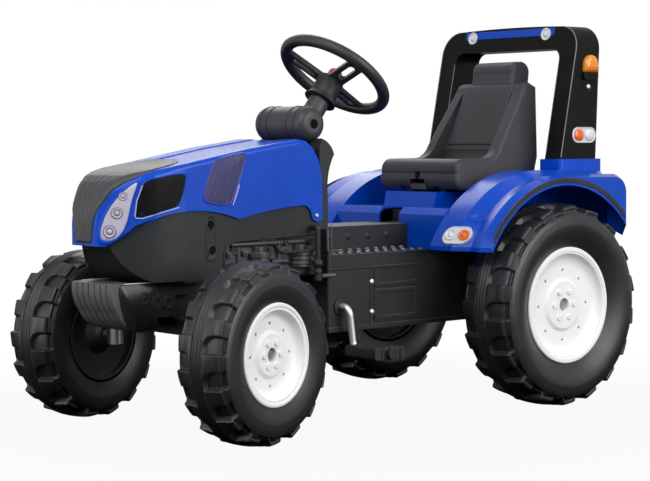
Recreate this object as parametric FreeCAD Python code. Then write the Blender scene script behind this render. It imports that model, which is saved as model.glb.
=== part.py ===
import FreeCAD, Part
import math
import os
from FreeCAD import Vector

# Ride-on pedal tractor. Millimetres, +Z up, forward is -Y, the driver's left is +X.
# Every piece is written as its own STEP file in parts/.

# Layout
REAR_AXLE_Y = 335.0
WHEELBASE = 711.0
REAR_TRACK_HALF = 245.0
KINGPIN_X = 157.0
STUB_LENGTH = 72.0
STEER_REST = 13.1            # degrees, road wheels and steering wheel turned to the left
FRONT_AXLE_Y = REAR_AXLE_Y - WHEELBASE

# Clearances
RUN_FIT = 0.05               # radial, a shaft in its bore
SEAT_FIT = 0.3               # a moulding set in or on its neighbour
SWING_FIT = 0.5              # faces that turn past each other

# Tyres and rims
REAR_RADIUS = 190.0
REAR_WIDTH = 122.0
REAR_RIM_RADIUS = 108.8
FRONT_RADIUS = 152.0
FRONT_WIDTH = 103.0
FRONT_RIM_RADIUS = 86.0
REAR_LUGS = 18
FRONT_LUGS = 16
LUG_HEIGHT = 11.0
LUG_SHARE = 0.52             # lug width over lug pitch
LUG_DROP = 32.0              # lugs reach this far down from the tread
LUG_ROOT = 1.5
LUG_END = 0.78               # lugs end at this share of the half width
BLOCK_DROP = 6.0             # shoulder blocks between the lugs start this far down from the tread
BAND_HALF = 12.0             # ribbed ring round the middle of the tread
BAND_GROOVES = 3
GROOVE_DEPTH = 1.2
TYRE_WALL = 5.0
BEAD_DEPTH = 4.0
REAR_RIM_INSET = 17.0        # rim face inside the tyre's widest plane
FRONT_RIM_INSET = 7.0
RIM_WALL = 3.0
RIM_DISH = 17.0
HUB_RADIUS = 24.0
REAR_HUB_REACH = 9.0         # hub's inner end past the tyre's inner face
FRONT_HUB_REACH = 2.0
WEB_WALL = 5.0
RIM_HOLES = 8
RIM_HOLE_RADIUS = 2.6
RIM_BOLTS = 6
RIM_BOLT_RADIUS = 5.0
RIM_STEP = 0.90              # shares of the rim's radius: step ring, flat ring, holes, boss, bolts
RIM_FLAT = 0.70
RIM_HOLE_RING = 0.60
RIM_BOWL_STEPS = 6           # straight steps of the bowl's curve
RIM_BOSS = 0.42
RIM_BOLT_RING = 0.25

# Rear axle and drive
AXLE_RADIUS = 7.0
AXLE_CAP_RADIUS = 12.0
AXLE_CAP_LENGTH = 8.0
BUSH_WALL = 4.0
BUSH_FLANGE = 3.0
BUSH_FLANGE_RADIUS = 17.0
SPACER_WALL = 3.5
DRIVE_PIN_RADIUS = 3.0
CHAIN_PITCH = 12.7
CHAIN_X = 40.0
CRANK_TEETH = 10
AXLE_TEETH = 8
SPROCKET_WIDTH = 3.0
CHAIN_GAP = 5.0              # between the inner faces of the side plates
CHAIN_PLATE = 1.6
CHAIN_HEIGHT = 9.0
CHAIN_ROLLER_RADIUS = 3.6
SPROCKET_HUB_RADIUS = 14.0
SPROCKET_HUB_LENGTH = 16.0

# Crank and pedals
CRANK_Y = -70.0
CRANK_Z = 202.0
CRANK_ROD_RADIUS = 6.0
CRANK_ARM = 76.0
CRANK_ANGLE = 8.0            # degrees, left arm behind straight down
CRANK_BEND = 14.0
ARM_CLEAR = 22.0             # from the chassis wall to the arm's middle
PEDAL_WIDTH = 80.0
PEDAL_LENGTH = 70.0
PEDAL_HEIGHT = 22.0
PEDAL_GAP = 16.0             # from the arm to the pedal's inner end
PEDAL_CAP_LENGTH = 6.0
PEDAL_CAP_RADIUS = 10.0

# Chassis
CHASSIS_HALF = 110.0
CRANK_ARM_X = CHASSIS_HALF + ARM_CLEAR
CHASSIS_BOTTOM = REAR_RADIUS - 33.0
CHASSIS_FRONT = -100.0
CHASSIS_REAR = 410.0
CHASSIS_WALL = 4.0
STEP_Z = 295.0
FLOOR_WALL = 3.0
TUNNEL_HALF = 52.0
TUNNEL_TOP = 342.0
TUNNEL_REAR = 148.0
SPINE_HALF = 28.0
SPINE_REAR = 196.0
SPINE_TOP = 364.0
GRIP_COUNT = 10
GRIP_PITCH = 21.0
GRIP_RADIUS = 7.0
GRIP_HEIGHT = 3.0
RIVET_COUNT = 4
RIVET_PITCH = 48.0
RIVET_RADIUS = 8.0
PANEL_RIB = 2.5
HITCH_HALF = 25.0
HITCH_WALL = 6.0
HITCH_START = 300.0
HITCH_END = 547.0
HITCH_BORE_RADIUS = 7.5
HITCH_BORE_INSET = 25.0

# Front frame, axle and steering linkage
FRAME_HALF = 45.0
FRAME_WALL = 4.0
FRAME_FRONT = FRONT_AXLE_Y - 24.0
FRAME_BOTTOM = 216.0
FRAME_TOP = 290.0
FLANGE_HALF = 86.0
ENGINE_BOTTOM = 265.0
BEAM_TOP = 199.0
BEAM_HEIGHT = 28.0
BEAM_DEPTH = 30.0
EYE_RADIUS = 15.0
KINGPIN_RADIUS = 6.0
ARM_WALL = 6.0
ARM_LENGTH = 60.0            # kingpin to tie rod, and shaft to its pin
ARM_PIN_RADIUS = 4.0
TIE_WIDTH = 16.0
TONGUE_HALF = 15.0
PIN_RADIUS = 5.0
SLOT_LENGTH = 34.0
STUB_RADIUS = 8.0
NUT_HEIGHT = 7.0
NUT_RADIUS = 11.0

# Steering wheel and shaft
WHEEL_Y = 13.0
WHEEL_Z = 620.0
COLUMN_TILT = 37.6           # degrees back from upright
WHEEL_RADIUS = 101.4
WHEEL_GRIP_RADIUS = 11.0
SPOKE_WIDTH = 32.0
SPOKE_WALL = 8.0
WHEEL_DISH = 16.0
HUB_BARREL_RADIUS = 25.0
HUB_BARREL_LENGTH = 46.0
SKIRT_RADIUS = 31.0
SHAFT_RADIUS = 7.0
SHAFT_ROOM = 5.0             # round the shaft where it passes the bonnet
SLEEVE_RADIUS = 20.0
SLEEVE_END = 150.0
SHAFT_BUSH_LENGTH = 20.0
HORN_RADIUS = 17.0
HORN_HEIGHT = 11.0
HORN_TRAVEL = 3.0

# Bonnet, engine body and dash
BONNET_HALF = 93.0
BONNET_WALL = 3.0
BONNET_REAR = -98.0
BONNET_ROUND = 9.0
NOSE_Y = FRONT_AXLE_Y - 165.0
NOSE_HALF = 36.0
GRILLE_FOOT_HALF = 21.0
ENGINE_NOSE_HALF = 34.0
CHANNEL_HALF = 44.0
CHANNEL_DEPTH = 3.0
TRIM_PROUD = 1.5
GRILLE_PROUD = 2.5
ENGINE_WALL = 4.0
ENGINE_TOP = 345.0
ENGINE_GAP = 1.0             # to the inside of the bonnet
SIDE_HOLE_RADIUS = 4.5
STUD_RADIUS = 4.0
STUD_HEAD = 3.0
COWL_Y = -97.0
COWL_Z = 529.0
COWL_RADIUS = 32.0
COWL_HALF = 70.0
DASH_REAR = -79.0

# Front weights
WEIGHT_HALF = 60.0
WEIGHT_COUNT = 7
WEIGHT_GAP = 3.5
WEIGHT_GROOVE = 4.0
CARRIER_HALF = 62.0
CARRIER_WALL = 4.0
CARRIER_FRONT = FRONT_AXLE_Y - 102.0
CARRIER_BOTTOM = 204.0
RING_RADIUS = 11.0
RING_PROUD = 3.0

# Rear body, roll bar and seat
FENDER_INNER = 150.0
FENDER_CROWN = 205.0
FENDER_OUTER = 285.0
FENDER_RADIUS = 250.0
ARCH_RADIUS = 223.0
FENDER_WALL = 4.0
FENDER_LOW = REAR_RADIUS + 107.0
FENDER_DROP = 12.0           # outer edge below the crown
FENDER_DIP_X = 236.0         # hollow between the crown and the crease
FENDER_DIP = 10.0
FENDER_CREASE_X = 263.0      # crease above the stripe
FENDER_CREASE = 6.5
SHELF_Z = 371.0
CONSOLE_HALF = 70.0
CONSOLE_TOP = 399.0
STRIPE_WIDTH = 9.0
STRIPE_PROUD = 1.0
SOCKET_FRONT = 418.0
SOCKET_REAR = 540.0
SOCKET_TOP = REAR_RADIUS + FENDER_RADIUS + 20.0
BAR_FOOT_FRONT = 430.0
BAR_FOOT_REAR = 531.0
BAR_LEAN_FRONT = 54.0
BAR_LEAN_REAR = 13.0
BAR_OUTER = 185.5
BAR_INNER = 144.0
BAR_TOP = 720.0
BAR_BEAM = 44.0
BAR_WALL = 4.0
ROOF_LAMP_X = 101.0
ROOF_LAMP_RADIUS = 12.5
ROOF_STRIP_HALF = 122.0
ROOF_STRIP_WIDTH = 15.0
PEG_HEIGHT = 28.0
SEAT_HALF = 110.0
SEAT_FRONT = 225.0
SEAT_BOTTOM = 404.0
SEAT_WALL = 5.0
SEAT_TOP_HALF = 92.0
SEAT_ROUND = 8.0
SEAT_BOWL_HALF = 84.0
HEADREST_HALF = 57.0
RAIL_X = 45.0
RAIL_HALF = 7.0
RAIL_HEIGHT = 10.0
SEAT_TRAVEL = 30.0
LATCH_HALF = 20.0
LATCH_LIFT = 8.0
LATCH_TONGUE_HALF = 6.0


# Basic solids

def box(x0, x1, y0, y1, z0, z1):
    """Block between two corners."""
    return Part.makeBox(x1 - x0, y1 - y0, z1 - z0, Vector(x0, y0, z0))


def bar_x(radius, x0, x1, y, z):
    """Round bar along X."""
    return Part.makeCylinder(radius, x1 - x0, Vector(x0, y, z), Vector(1, 0, 0))


def bar_y(radius, y0, y1, x, z):
    """Round bar along Y."""
    return Part.makeCylinder(radius, y1 - y0, Vector(x, y0, z), Vector(0, 1, 0))


def bar_z(radius, z0, z1, x, y):
    """Upright round bar."""
    return Part.makeCylinder(radius, z1 - z0, Vector(x, y, z0), Vector(0, 0, 1))


def line(a, b):
    """Straight move of an outline to a point."""
    return ((a, b),)


def arc(mid_a, mid_b, a, b):
    """Curved move of an outline through a middle point to an end point."""
    return ((mid_a, mid_b), (a, b))


def outline(start, moves, to_space):
    """Closed planar face from a start point and a list of moves."""
    edges = []
    here = start
    for move in moves:
        points = [to_space(*here)] + [to_space(*point) for point in move]
        if len(points) == 2:
            edges.append(Part.LineSegment(*points).toShape())
        else:
            edges.append(Part.Arc(*points).toShape())
        here = move[-1]
    if here != start:
        edges.append(Part.LineSegment(to_space(*here), to_space(*start)).toShape())
    return Part.Face(Part.Wire(edges))


def side_prism(start, moves, x0, x1):
    """Side outline in (y, z), from x0 to x1."""
    face = outline(start, moves, lambda y, z: Vector(x0, y, z))
    return face.extrude(Vector(x1 - x0, 0, 0))


def plan_prism(start, moves, z0, z1):
    """Plan outline in (x, y), from z0 to z1."""
    face = outline(start, moves, lambda x, y: Vector(x, y, z0))
    return face.extrude(Vector(0, 0, z1 - z0))


def front_prism(start, moves, y0, y1):
    """Front outline in (x, z), from y0 to y1."""
    face = outline(start, moves, lambda x, z: Vector(x, y0, z))
    return face.extrude(Vector(0, y1 - y0, 0))


def turned(start, moves):
    """Solid turned about the X axis from an outline in (x, radius)."""
    face = outline(start, moves, lambda x, r: Vector(x, r, 0))
    return face.revolve(Vector(0, 0, 0), Vector(1, 0, 0), 360)


def mirrored(shape):
    """The same piece on the tractor's other side."""
    return shape.mirror(Vector(0, 0, 0), Vector(1, 0, 0))


def both_sides(shape):
    """A left piece together with its right twin."""
    return [shape, mirrored(shape)]


def union(shapes):
    """One solid of several that meet."""
    return shapes[0].multiFuse(shapes[1:]).removeSplitter()


def moved(shape, x, y, z):
    """Copy of a shape, shifted."""
    copy = shape.copy()
    copy.translate(Vector(x, y, z))
    return copy


def spun(shape, centre, axis, angle):
    """Copy of a shape, turned about an axis."""
    copy = shape.copy()
    copy.rotate(centre, axis, angle)
    return copy


def rounded(shape, radius, wanted):
    """Shape with the edges that a test picks rounded."""
    edges = [edge for edge in shape.Edges if wanted(edge)]
    return shape.makeFillet(radius, edges)


def runs_along(edge, axis):
    """True where an edge is straight and along an axis."""
    if edge.Curve.TypeId != "Part::GeomLine":
        return False
    return abs(edge.tangentAt(edge.FirstParameter).dot(axis)) > 0.999


X_AXIS = Vector(1, 0, 0)
Y_AXIS = Vector(0, 1, 0)
Z_AXIS = Vector(0, 0, 1)


# Wheels, built about the X axis with the outside at +X

def tyre_moves(crown, half, bead_radius, bead_half):
    """Outer line of a tyre's section from its outer bead to its inner bead."""
    shoulder = half * 0.13
    crown_half = half * 0.62
    bead_top = bead_radius + BEAD_DEPTH + SEAT_FIT
    belly = (bead_top + crown) / 2
    return (bead_half, bead_radius), [
        line(bead_half, bead_top),
        arc(half, belly, half - shoulder, crown - shoulder),
        line(crown_half, crown),
        line(-crown_half, crown),
        line(shoulder - half, crown - shoulder),
        arc(-half, belly, -bead_half, bead_top),
        line(-bead_half, bead_radius),
    ]


def section_ring(outer, inner):
    """Ring turned from the space between two tyre lines."""
    start, moves = outer
    inner_start, inner_moves = inner
    points = [inner_start] + [move[-1] for move in inner_moves]
    back = [line(*points[-1])]
    for index in range(len(inner_moves) - 1, -1, -1):
        middle = inner_moves[index][:-1]
        back.append(middle + (points[index],))
    return turned(start, moves + back)


def lug_outline(half, wide, gap):
    """Lug seen from above the wheel: one straight edge, and one that sweeps along the centre band."""
    inner = BAND_HALF - 1.0
    outer = LUG_END * half
    bend = inner + 0.6 * (outer - inner)
    low = -0.5 * wide
    high = 0.5 * wide
    sweep = 0.9 * gap
    soft = 1 - math.sqrt(0.5)
    return (inner, high), [
        line(outer, high - 0.04 * wide),
        line(outer, low + 0.04 * wide),
        line(bend, low),
        arc(inner + soft * (bend - inner), low - soft * sweep, inner, low - sweep),
    ]


def block_outline(half, wide, gap):
    """Block on the tyre's shoulder, in the gap between two lugs."""
    inner = LUG_END * half - 1.0
    outer = half + 4.0
    low = -0.5 * wide - 0.94 * gap
    high = -0.5 * wide - 0.06 * gap
    return (inner, low), [line(outer, low), line(outer, high), line(inner, high)]


def centre_band(radius, root):
    """Raised ring round the middle of the tread, with its fine grooves."""
    ribs = 2 * BAND_GROOVES + 1
    step = 2 * BAND_HALF / ribs
    moves = []
    for index in range(ribs):
        top = radius - GROOVE_DEPTH * (index % 2)
        start = -BAND_HALF + index * step
        moves.append(line(start, top))
        moves.append(line(start + step, top))
    moves.append(line(BAND_HALF, root))
    return turned((-BAND_HALF, root), moves)


def tyre(radius, width, rim_radius, inset, lug_count):
    """Hollow tyre, open to the rim, with a ribbed centre band and two staggered rows of lugs."""
    half = width / 2
    bead_radius = rim_radius - BEAD_DEPTH
    bead_half = half - inset
    crown = radius - LUG_HEIGHT
    side = half - LUG_HEIGHT / 3
    carcass = tyre_moves(crown, side, bead_radius, bead_half)
    cavity = tyre_moves(crown - TYRE_WALL, side - TYRE_WALL, bead_radius, bead_half - TYRE_WALL)
    shell = section_ring(carcass, cavity)
    tread = section_ring(
        tyre_moves(radius, half, bead_radius + LUG_HEIGHT, bead_half),
        tyre_moves(crown - LUG_ROOT, side - LUG_ROOT, bead_radius + LUG_HEIGHT, bead_half - LUG_ROOT))
    pitch = 360.0 / lug_count
    wide = LUG_SHARE * radius * math.radians(pitch)
    gap = (1 - LUG_SHARE) * radius * math.radians(pitch)
    start, moves = lug_outline(half, wide, gap)
    lug = tread.common(plan_prism(start, moves, radius - LUG_DROP, radius + LUG_HEIGHT))
    start, moves = block_outline(half, wide, gap)
    block = tread.common(plan_prism(start, moves, radius - LUG_DROP, radius - BLOCK_DROP))
    origin = Vector(0, 0, 0)
    raised = [centre_band(radius, crown - LUG_ROOT)]
    for index in range(lug_count):
        for piece in (lug, block):
            raised.append(spun(piece, origin, X_AXIS, index * pitch))
            raised.append(spun(mirrored(piece), origin, X_AXIS, (index + 0.5) * pitch))
    return shell.multiFuse(raised)


def wheel_core(width, rim_radius, inset, bore, reach):
    """Drum that carries the tyre, with its web and hub."""
    half = width / 2
    drum = rim_radius - BEAD_DEPTH - RUN_FIT
    bead_half = half - inset
    web = -bead_half + 12.0
    hub_in = -half - reach
    hub_out = bead_half - RIM_DISH - 2 * RIM_WALL
    return turned((-bead_half, drum), [
        line(bead_half - 1.0, drum),
        line(bead_half - 1.0, drum - WEB_WALL),
        line(web + WEB_WALL, drum - WEB_WALL),
        line(web + WEB_WALL, HUB_RADIUS + 12.0),
        line(web + WEB_WALL + 12.0, HUB_RADIUS),
        line(hub_out, HUB_RADIUS),
        line(hub_out, bore),
        line(hub_in, bore),
        line(hub_in, HUB_RADIUS - 4.0),
        line(web - 12.0, HUB_RADIUS),
        line(web, HUB_RADIUS + 12.0),
        line(web, drum - WEB_WALL),
        line(-bead_half, drum - WEB_WALL),
    ])


def rim_disc(width, rim_radius, inset, hole):
    """White rim cover: lip, step ring, bowl, flat ring with holes and raised boss with bolts."""
    half = width / 2
    face = half - inset
    skirt = rim_radius - BEAD_DEPTH - WEB_WALL - SEAT_FIT
    dish = face - RIM_DISH
    wall = RIM_WALL
    step = RIM_STEP * rim_radius
    flat = RIM_FLAT * rim_radius
    boss = RIM_BOSS * rim_radius
    ledge = face + 0.5 * wall
    bowl_start = min(step - 0.4 * wall, skirt - wall)
    bowl = []
    for index in range(1, RIM_BOWL_STEPS + 1):
        angle = 0.5 * math.pi * index / RIM_BOWL_STEPS
        bowl.append(line(ledge - (ledge - dish - wall) * math.sin(angle),
                         flat + (bowl_start - flat) * math.cos(angle)))
    boss_top = dish + 2.6 * wall
    disc = turned((face, skirt), [
        line(face, rim_radius),
        arc(face + 0.8 * wall, rim_radius - 0.4 * wall, face + wall, rim_radius - 1.2 * wall),
        line(face + wall, step + 0.8 * wall),
        line(ledge, step + 0.5 * wall),
        line(ledge, bowl_start),
        *bowl,
        line(dish + wall, boss + 1.5 * wall),
        line(boss_top, boss - 0.5 * wall),
        line(boss_top, hole),
        line(dish, hole),
        line(dish, HUB_RADIUS + 10.0),
        line(dish - wall, HUB_RADIUS + 22.0),
        line(dish - wall, skirt),
    ])
    holes = []
    for index in range(RIM_HOLES):
        drill = bar_x(RIM_HOLE_RADIUS, dish - 2 * wall, face, 0, RIM_HOLE_RING * rim_radius)
        holes.append(spun(drill, Vector(0, 0, 0), X_AXIS, 360.0 * index / RIM_HOLES))
    bolts = []
    for index in range(RIM_BOLTS):
        bolt = bar_x(RIM_BOLT_RADIUS, dish + wall, boss_top + wall, 0, RIM_BOLT_RING * rim_radius)
        bolts.append(spun(bolt, Vector(0, 0, 0), X_AXIS, 360.0 * (index + 0.5) / RIM_BOLTS))
    return disc.cut(Part.makeCompound(holes)).multiFuse(bolts)


def hex_nut(radius, height, bore):
    """Hexagon nut along +X from the origin."""
    corners = []
    for index in range(7):
        angle = math.radians(60 * index)
        corners.append(Vector(0, radius * math.cos(angle), radius * math.sin(angle)))
    nut = Part.Face(Part.makePolygon(corners)).extrude(Vector(height, 0, 0))
    return nut.cut(bar_x(bore, -1, height + 1, 0, 0))


def rear_wheels():
    """Rear tyres, cores and rims, and the caps that hold them on the axle."""
    place = (REAR_TRACK_HALF, REAR_AXLE_Y, REAR_RADIUS)
    half = REAR_WIDTH / 2
    hub_out = half - REAR_RIM_INSET - RIM_DISH - 2 * RIM_WALL
    core = wheel_core(REAR_WIDTH, REAR_RIM_RADIUS, REAR_RIM_INSET, AXLE_RADIUS + RUN_FIT, REAR_HUB_REACH)
    rim = rim_disc(REAR_WIDTH, REAR_RIM_RADIUS, REAR_RIM_INSET, AXLE_CAP_RADIUS + SEAT_FIT)
    cap = bar_x(AXLE_CAP_RADIUS, hub_out, hub_out + AXLE_CAP_LENGTH, 0, 0)
    bore = bar_x(AXLE_RADIUS + RUN_FIT, hub_out - 1, hub_out + AXLE_CAP_LENGTH / 2, 0, 0)
    pieces = {
        "rear_tyre": tyre(REAR_RADIUS, REAR_WIDTH, REAR_RIM_RADIUS, REAR_RIM_INSET, REAR_LUGS),
        "rear_rim": rim,
    }
    for name, piece in pieces.items():
        left = moved(piece, *place)
        save(name + "_left", left)
        save(name + "_right", mirrored(left))
    left_core = moved(core, *place)
    save("rear_wheel_core_left", left_core)
    save("rear_wheel_core_right", mirrored(left_core).cut(drive_pin()))
    save("axle_caps", Part.makeCompound(both_sides(moved(cap.cut(bore), *place))))


def drive_pin():
    """Cross pin that drives the right rear wheel from the axle."""
    pin_x = REAR_HUB_REACH + REAR_WIDTH / 2 - REAR_TRACK_HALF - 2.5 * DRIVE_PIN_RADIUS
    reach = HUB_RADIUS - 1.0
    return bar_z(DRIVE_PIN_RADIUS, REAR_RADIUS - reach, REAR_RADIUS + reach, pin_x, REAR_AXLE_Y)


def steered(shape, side):
    """Straight-ahead left piece, put on a side and turned with the steering."""
    piece = shape if side > 0 else mirrored(shape)
    return spun(piece, Vector(side * KINGPIN_X, FRONT_AXLE_Y, 0), Z_AXIS, STEER_REST)


def front_wheels():
    """Front tyres, cores and rims on their stub axles."""
    place = (KINGPIN_X + STUB_LENGTH, FRONT_AXLE_Y, FRONT_RADIUS)
    pieces = {
        "front_tyre": tyre(FRONT_RADIUS, FRONT_WIDTH, FRONT_RIM_RADIUS, FRONT_RIM_INSET, FRONT_LUGS),
        "front_wheel_core": wheel_core(FRONT_WIDTH, FRONT_RIM_RADIUS, FRONT_RIM_INSET,
                                       STUB_RADIUS + RUN_FIT, FRONT_HUB_REACH),
        "front_rim": rim_disc(FRONT_WIDTH, FRONT_RIM_RADIUS, FRONT_RIM_INSET, NUT_RADIUS + SWING_FIT),
    }
    for name, piece in pieces.items():
        straight = moved(piece, *place)
        save(name + "_left", steered(straight, 1))
        save(name + "_right", steered(straight, -1))


# Front axle and steering linkage

def knuckles():
    """Knuckles with kingpin and stub axle, their steering arms, kingpin and wheel nuts."""
    eye_bottom = BEAM_TOP - BEAM_HEIGHT
    arm_bottom = BEAM_TOP + SWING_FIT
    arm_top = arm_bottom + ARM_WALL
    hub_in = STUB_LENGTH - FRONT_WIDTH / 2 - FRONT_HUB_REACH
    hub_out = STUB_LENGTH + FRONT_WIDTH / 2 - FRONT_RIM_INSET - RIM_DISH - 2 * RIM_WALL
    stub_end = hub_out + SWING_FIT + NUT_HEIGHT + 2
    block_low = FRONT_RADIUS - EYE_RADIUS
    block_top = eye_bottom - SWING_FIT
    body = union([
        bar_z(EYE_RADIUS, block_low, block_top, KINGPIN_X, FRONT_AXLE_Y),
        bar_z(KINGPIN_RADIUS, block_low, arm_top + NUT_HEIGHT, KINGPIN_X, FRONT_AXLE_Y),
        bar_x(STUB_RADIUS, KINGPIN_X, KINGPIN_X + stub_end, FRONT_AXLE_Y, FRONT_RADIUS),
        bar_x(STUB_RADIUS + 4, KINGPIN_X, KINGPIN_X + hub_in - SWING_FIT, FRONT_AXLE_Y, FRONT_RADIUS),
    ])
    tip_y = FRONT_AXLE_Y + ARM_LENGTH
    reach = TIE_WIDTH / 2
    plate = plan_prism((KINGPIN_X - EYE_RADIUS, FRONT_AXLE_Y), [
        arc(KINGPIN_X, FRONT_AXLE_Y - EYE_RADIUS, KINGPIN_X + EYE_RADIUS, FRONT_AXLE_Y),
        line(KINGPIN_X + reach, tip_y),
        arc(KINGPIN_X, tip_y + reach, KINGPIN_X - reach, tip_y),
    ], arm_bottom, arm_top)
    plate = plate.cut(bar_z(KINGPIN_RADIUS, arm_bottom - 1, arm_top + 1, KINGPIN_X, FRONT_AXLE_Y))
    pin_top = arm_top + SWING_FIT + ARM_WALL + 1
    arm = plate.fuse(bar_z(ARM_PIN_RADIUS, arm_bottom, pin_top, KINGPIN_X, tip_y))
    top_nut = spun(hex_nut(NUT_RADIUS, NUT_HEIGHT, KINGPIN_RADIUS), Vector(0, 0, 0), Y_AXIS, -90)
    top_nut = moved(top_nut, KINGPIN_X, FRONT_AXLE_Y, arm_top)
    end_nut = hex_nut(NUT_RADIUS, NUT_HEIGHT, STUB_RADIUS)
    end_nut = moved(end_nut, KINGPIN_X + hub_out + SWING_FIT, FRONT_AXLE_Y, FRONT_RADIUS)
    nuts = Part.makeCompound([top_nut, end_nut])
    for side, word in ((1, "left"), (-1, "right")):
        save("knuckle_" + word, steered(body, side))
        save("steering_arm_" + word, steered(arm, side))
        save("knuckle_nuts_" + word, steered(nuts, side))


def tie_plate_low():
    """Underside of the tie rod."""
    return BEAM_TOP + SWING_FIT + ARM_WALL + SWING_FIT


def column_point(along):
    """Point on the steering axis, measured down from the wheel's rim plane."""
    tilt = math.radians(COLUMN_TILT)
    return Vector(0, WHEEL_Y - along * math.sin(tilt), WHEEL_Z - along * math.cos(tilt))


def column_axis():
    """Direction of the steering axis, up towards the driver."""
    tilt = math.radians(COLUMN_TILT)
    return Vector(0, math.sin(tilt), math.cos(tilt))


def pin_plane():
    """How far down the steering axis the shaft's pin crosses the tie rod, and where in y."""
    tilt = math.radians(COLUMN_TILT)
    plate_mid = tie_plate_low() + ARM_WALL / 2
    along = (WHEEL_Z - plate_mid - ARM_LENGTH * math.sin(tilt)) / math.cos(tilt)
    cross_y = column_point(along).y + ARM_LENGTH * math.cos(tilt)
    return along, cross_y


def tie_rod():
    """Tie rod between the arms, with a slotted tongue for the shaft's pin."""
    low = tie_plate_low()
    top = low + ARM_WALL
    bar_mid = FRONT_AXLE_Y + ARM_LENGTH
    reach = TIE_WIDTH / 2
    slot_mid = pin_plane()[1]
    slot_half = PIN_RADIUS + SEAT_FIT
    slot_run = SLOT_LENGTH / 2 - slot_half
    tongue_end = slot_mid + SLOT_LENGTH / 2 + TONGUE_HALF - slot_half
    tongue_start = slot_mid - SLOT_LENGTH / 2 - TONGUE_HALF + slot_half
    rod = union([
        box(-KINGPIN_X, KINGPIN_X, bar_mid - reach, bar_mid + reach, low, top),
        bar_z(reach, low, top, KINGPIN_X, bar_mid),
        bar_z(reach, low, top, -KINGPIN_X, bar_mid),
        box(-TONGUE_HALF, TONGUE_HALF, min(bar_mid, tongue_start), max(bar_mid, tongue_end), low, top),
    ])
    cuts = [
        box(-slot_half, slot_half, slot_mid - slot_run, slot_mid + slot_run, low - 1, top + 1),
        bar_z(slot_half, low - 1, top + 1, 0, slot_mid - slot_run),
        bar_z(slot_half, low - 1, top + 1, 0, slot_mid + slot_run),
        bar_z(ARM_PIN_RADIUS + RUN_FIT, low - 1, top + 1, KINGPIN_X, bar_mid),
        bar_z(ARM_PIN_RADIUS + RUN_FIT, low - 1, top + 1, -KINGPIN_X, bar_mid),
    ]
    turn = math.radians(STEER_REST)
    rod = rod.cut(Part.makeCompound(cuts))
    save("tie_rod", moved(rod, -ARM_LENGTH * math.sin(turn), ARM_LENGTH * (math.cos(turn) - 1), 0))


def shaft_bush_blank(radius):
    """Round blank of the steering shaft's bush where the shaft passes the frame's roof."""
    along = (WHEEL_Z - FRAME_TOP + FRAME_WALL / 2) / math.cos(math.radians(COLUMN_TILT))
    low = column_point(along + SHAFT_BUSH_LENGTH / 2)
    return Part.makeCylinder(radius, SHAFT_BUSH_LENGTH, low, column_axis())


def shaft_bush():
    """Bush that guides the steering shaft."""
    return shaft_bush_blank(SHAFT_RADIUS + BUSH_WALL).cut(shaft_bush_blank(SHAFT_RADIUS + RUN_FIT))


def front_frame():
    """Hat-section front frame with its axle saddle, and the axle beam."""
    wall = FRAME_WALL
    rear = CHASSIS_FRONT
    hat = box(-FRAME_HALF, FRAME_HALF, FRAME_FRONT, rear, FRAME_BOTTOM, FRAME_TOP)
    hollow = box(wall - FRAME_HALF, FRAME_HALF - wall, FRAME_FRONT + wall, rear - wall,
                 FRAME_BOTTOM - 1, FRAME_TOP - wall)
    flange = box(-FLANGE_HALF, FLANGE_HALF, FRAME_FRONT, rear, ENGINE_BOTTOM - wall, ENGINE_BOTTOM)
    frame = hat.fuse(flange).cut(hollow)
    half = BEAM_DEPTH / 2
    saddle = box(-FRAME_HALF, FRAME_HALF, FRONT_AXLE_Y - half, FRONT_AXLE_Y + half, BEAM_TOP, FRAME_BOTTOM)
    frame = frame.cut(shaft_bush_blank(SHAFT_RADIUS + BUSH_WALL)).fuse(saddle)
    save("front_frame", frame.removeSplitter())
    low = BEAM_TOP - BEAM_HEIGHT
    beam = union([
        box(-KINGPIN_X, KINGPIN_X, FRONT_AXLE_Y - half, FRONT_AXLE_Y + half, low, BEAM_TOP),
        bar_z(EYE_RADIUS, low, BEAM_TOP, KINGPIN_X, FRONT_AXLE_Y),
        bar_z(EYE_RADIUS, low, BEAM_TOP, -KINGPIN_X, FRONT_AXLE_Y),
    ])
    for side in (1, -1):
        pin_hole = bar_z(KINGPIN_RADIUS + RUN_FIT, low - 1, BEAM_TOP + 1, side * KINGPIN_X, FRONT_AXLE_Y)
        beam = beam.cut(pin_hole)
    save("front_axle_beam", beam)


# Steering wheel, built flat about Z and tipped onto the steering axis

def on_column(shape):
    """Flat-built steering piece, tipped, placed and turned with the steering."""
    tipped = spun(shape, Vector(0, 0, 0), X_AXIS, -COLUMN_TILT)
    placed = moved(tipped, 0, WHEEL_Y, WHEEL_Z)
    return spun(placed, column_point(0), column_axis(), STEER_REST)


def spoke():
    """One slotted spoke along +Y, from the hub up to the grip."""
    half = SPOKE_WIDTH / 2
    slot = half * 0.42
    top = -WHEEL_DISH
    run = WHEEL_RADIUS - WHEEL_GRIP_RADIUS / 2
    plate = side_prism((0, top - SPOKE_WALL), [
        line(run, -SPOKE_WALL / 2),
        line(run, SPOKE_WALL / 2),
        line(0, top),
    ], -half, half)
    low = HUB_BARREL_RADIUS + 16.0
    high = WHEEL_RADIUS - WHEEL_GRIP_RADIUS - 14.0
    cut = union([
        box(-slot, slot, low, high, top - SPOKE_WALL, SPOKE_WALL),
        bar_z(slot, top - SPOKE_WALL, SPOKE_WALL, 0, low),
        bar_z(slot, top - SPOKE_WALL, SPOKE_WALL, 0, high),
    ])
    return plate.cut(cut)


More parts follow.
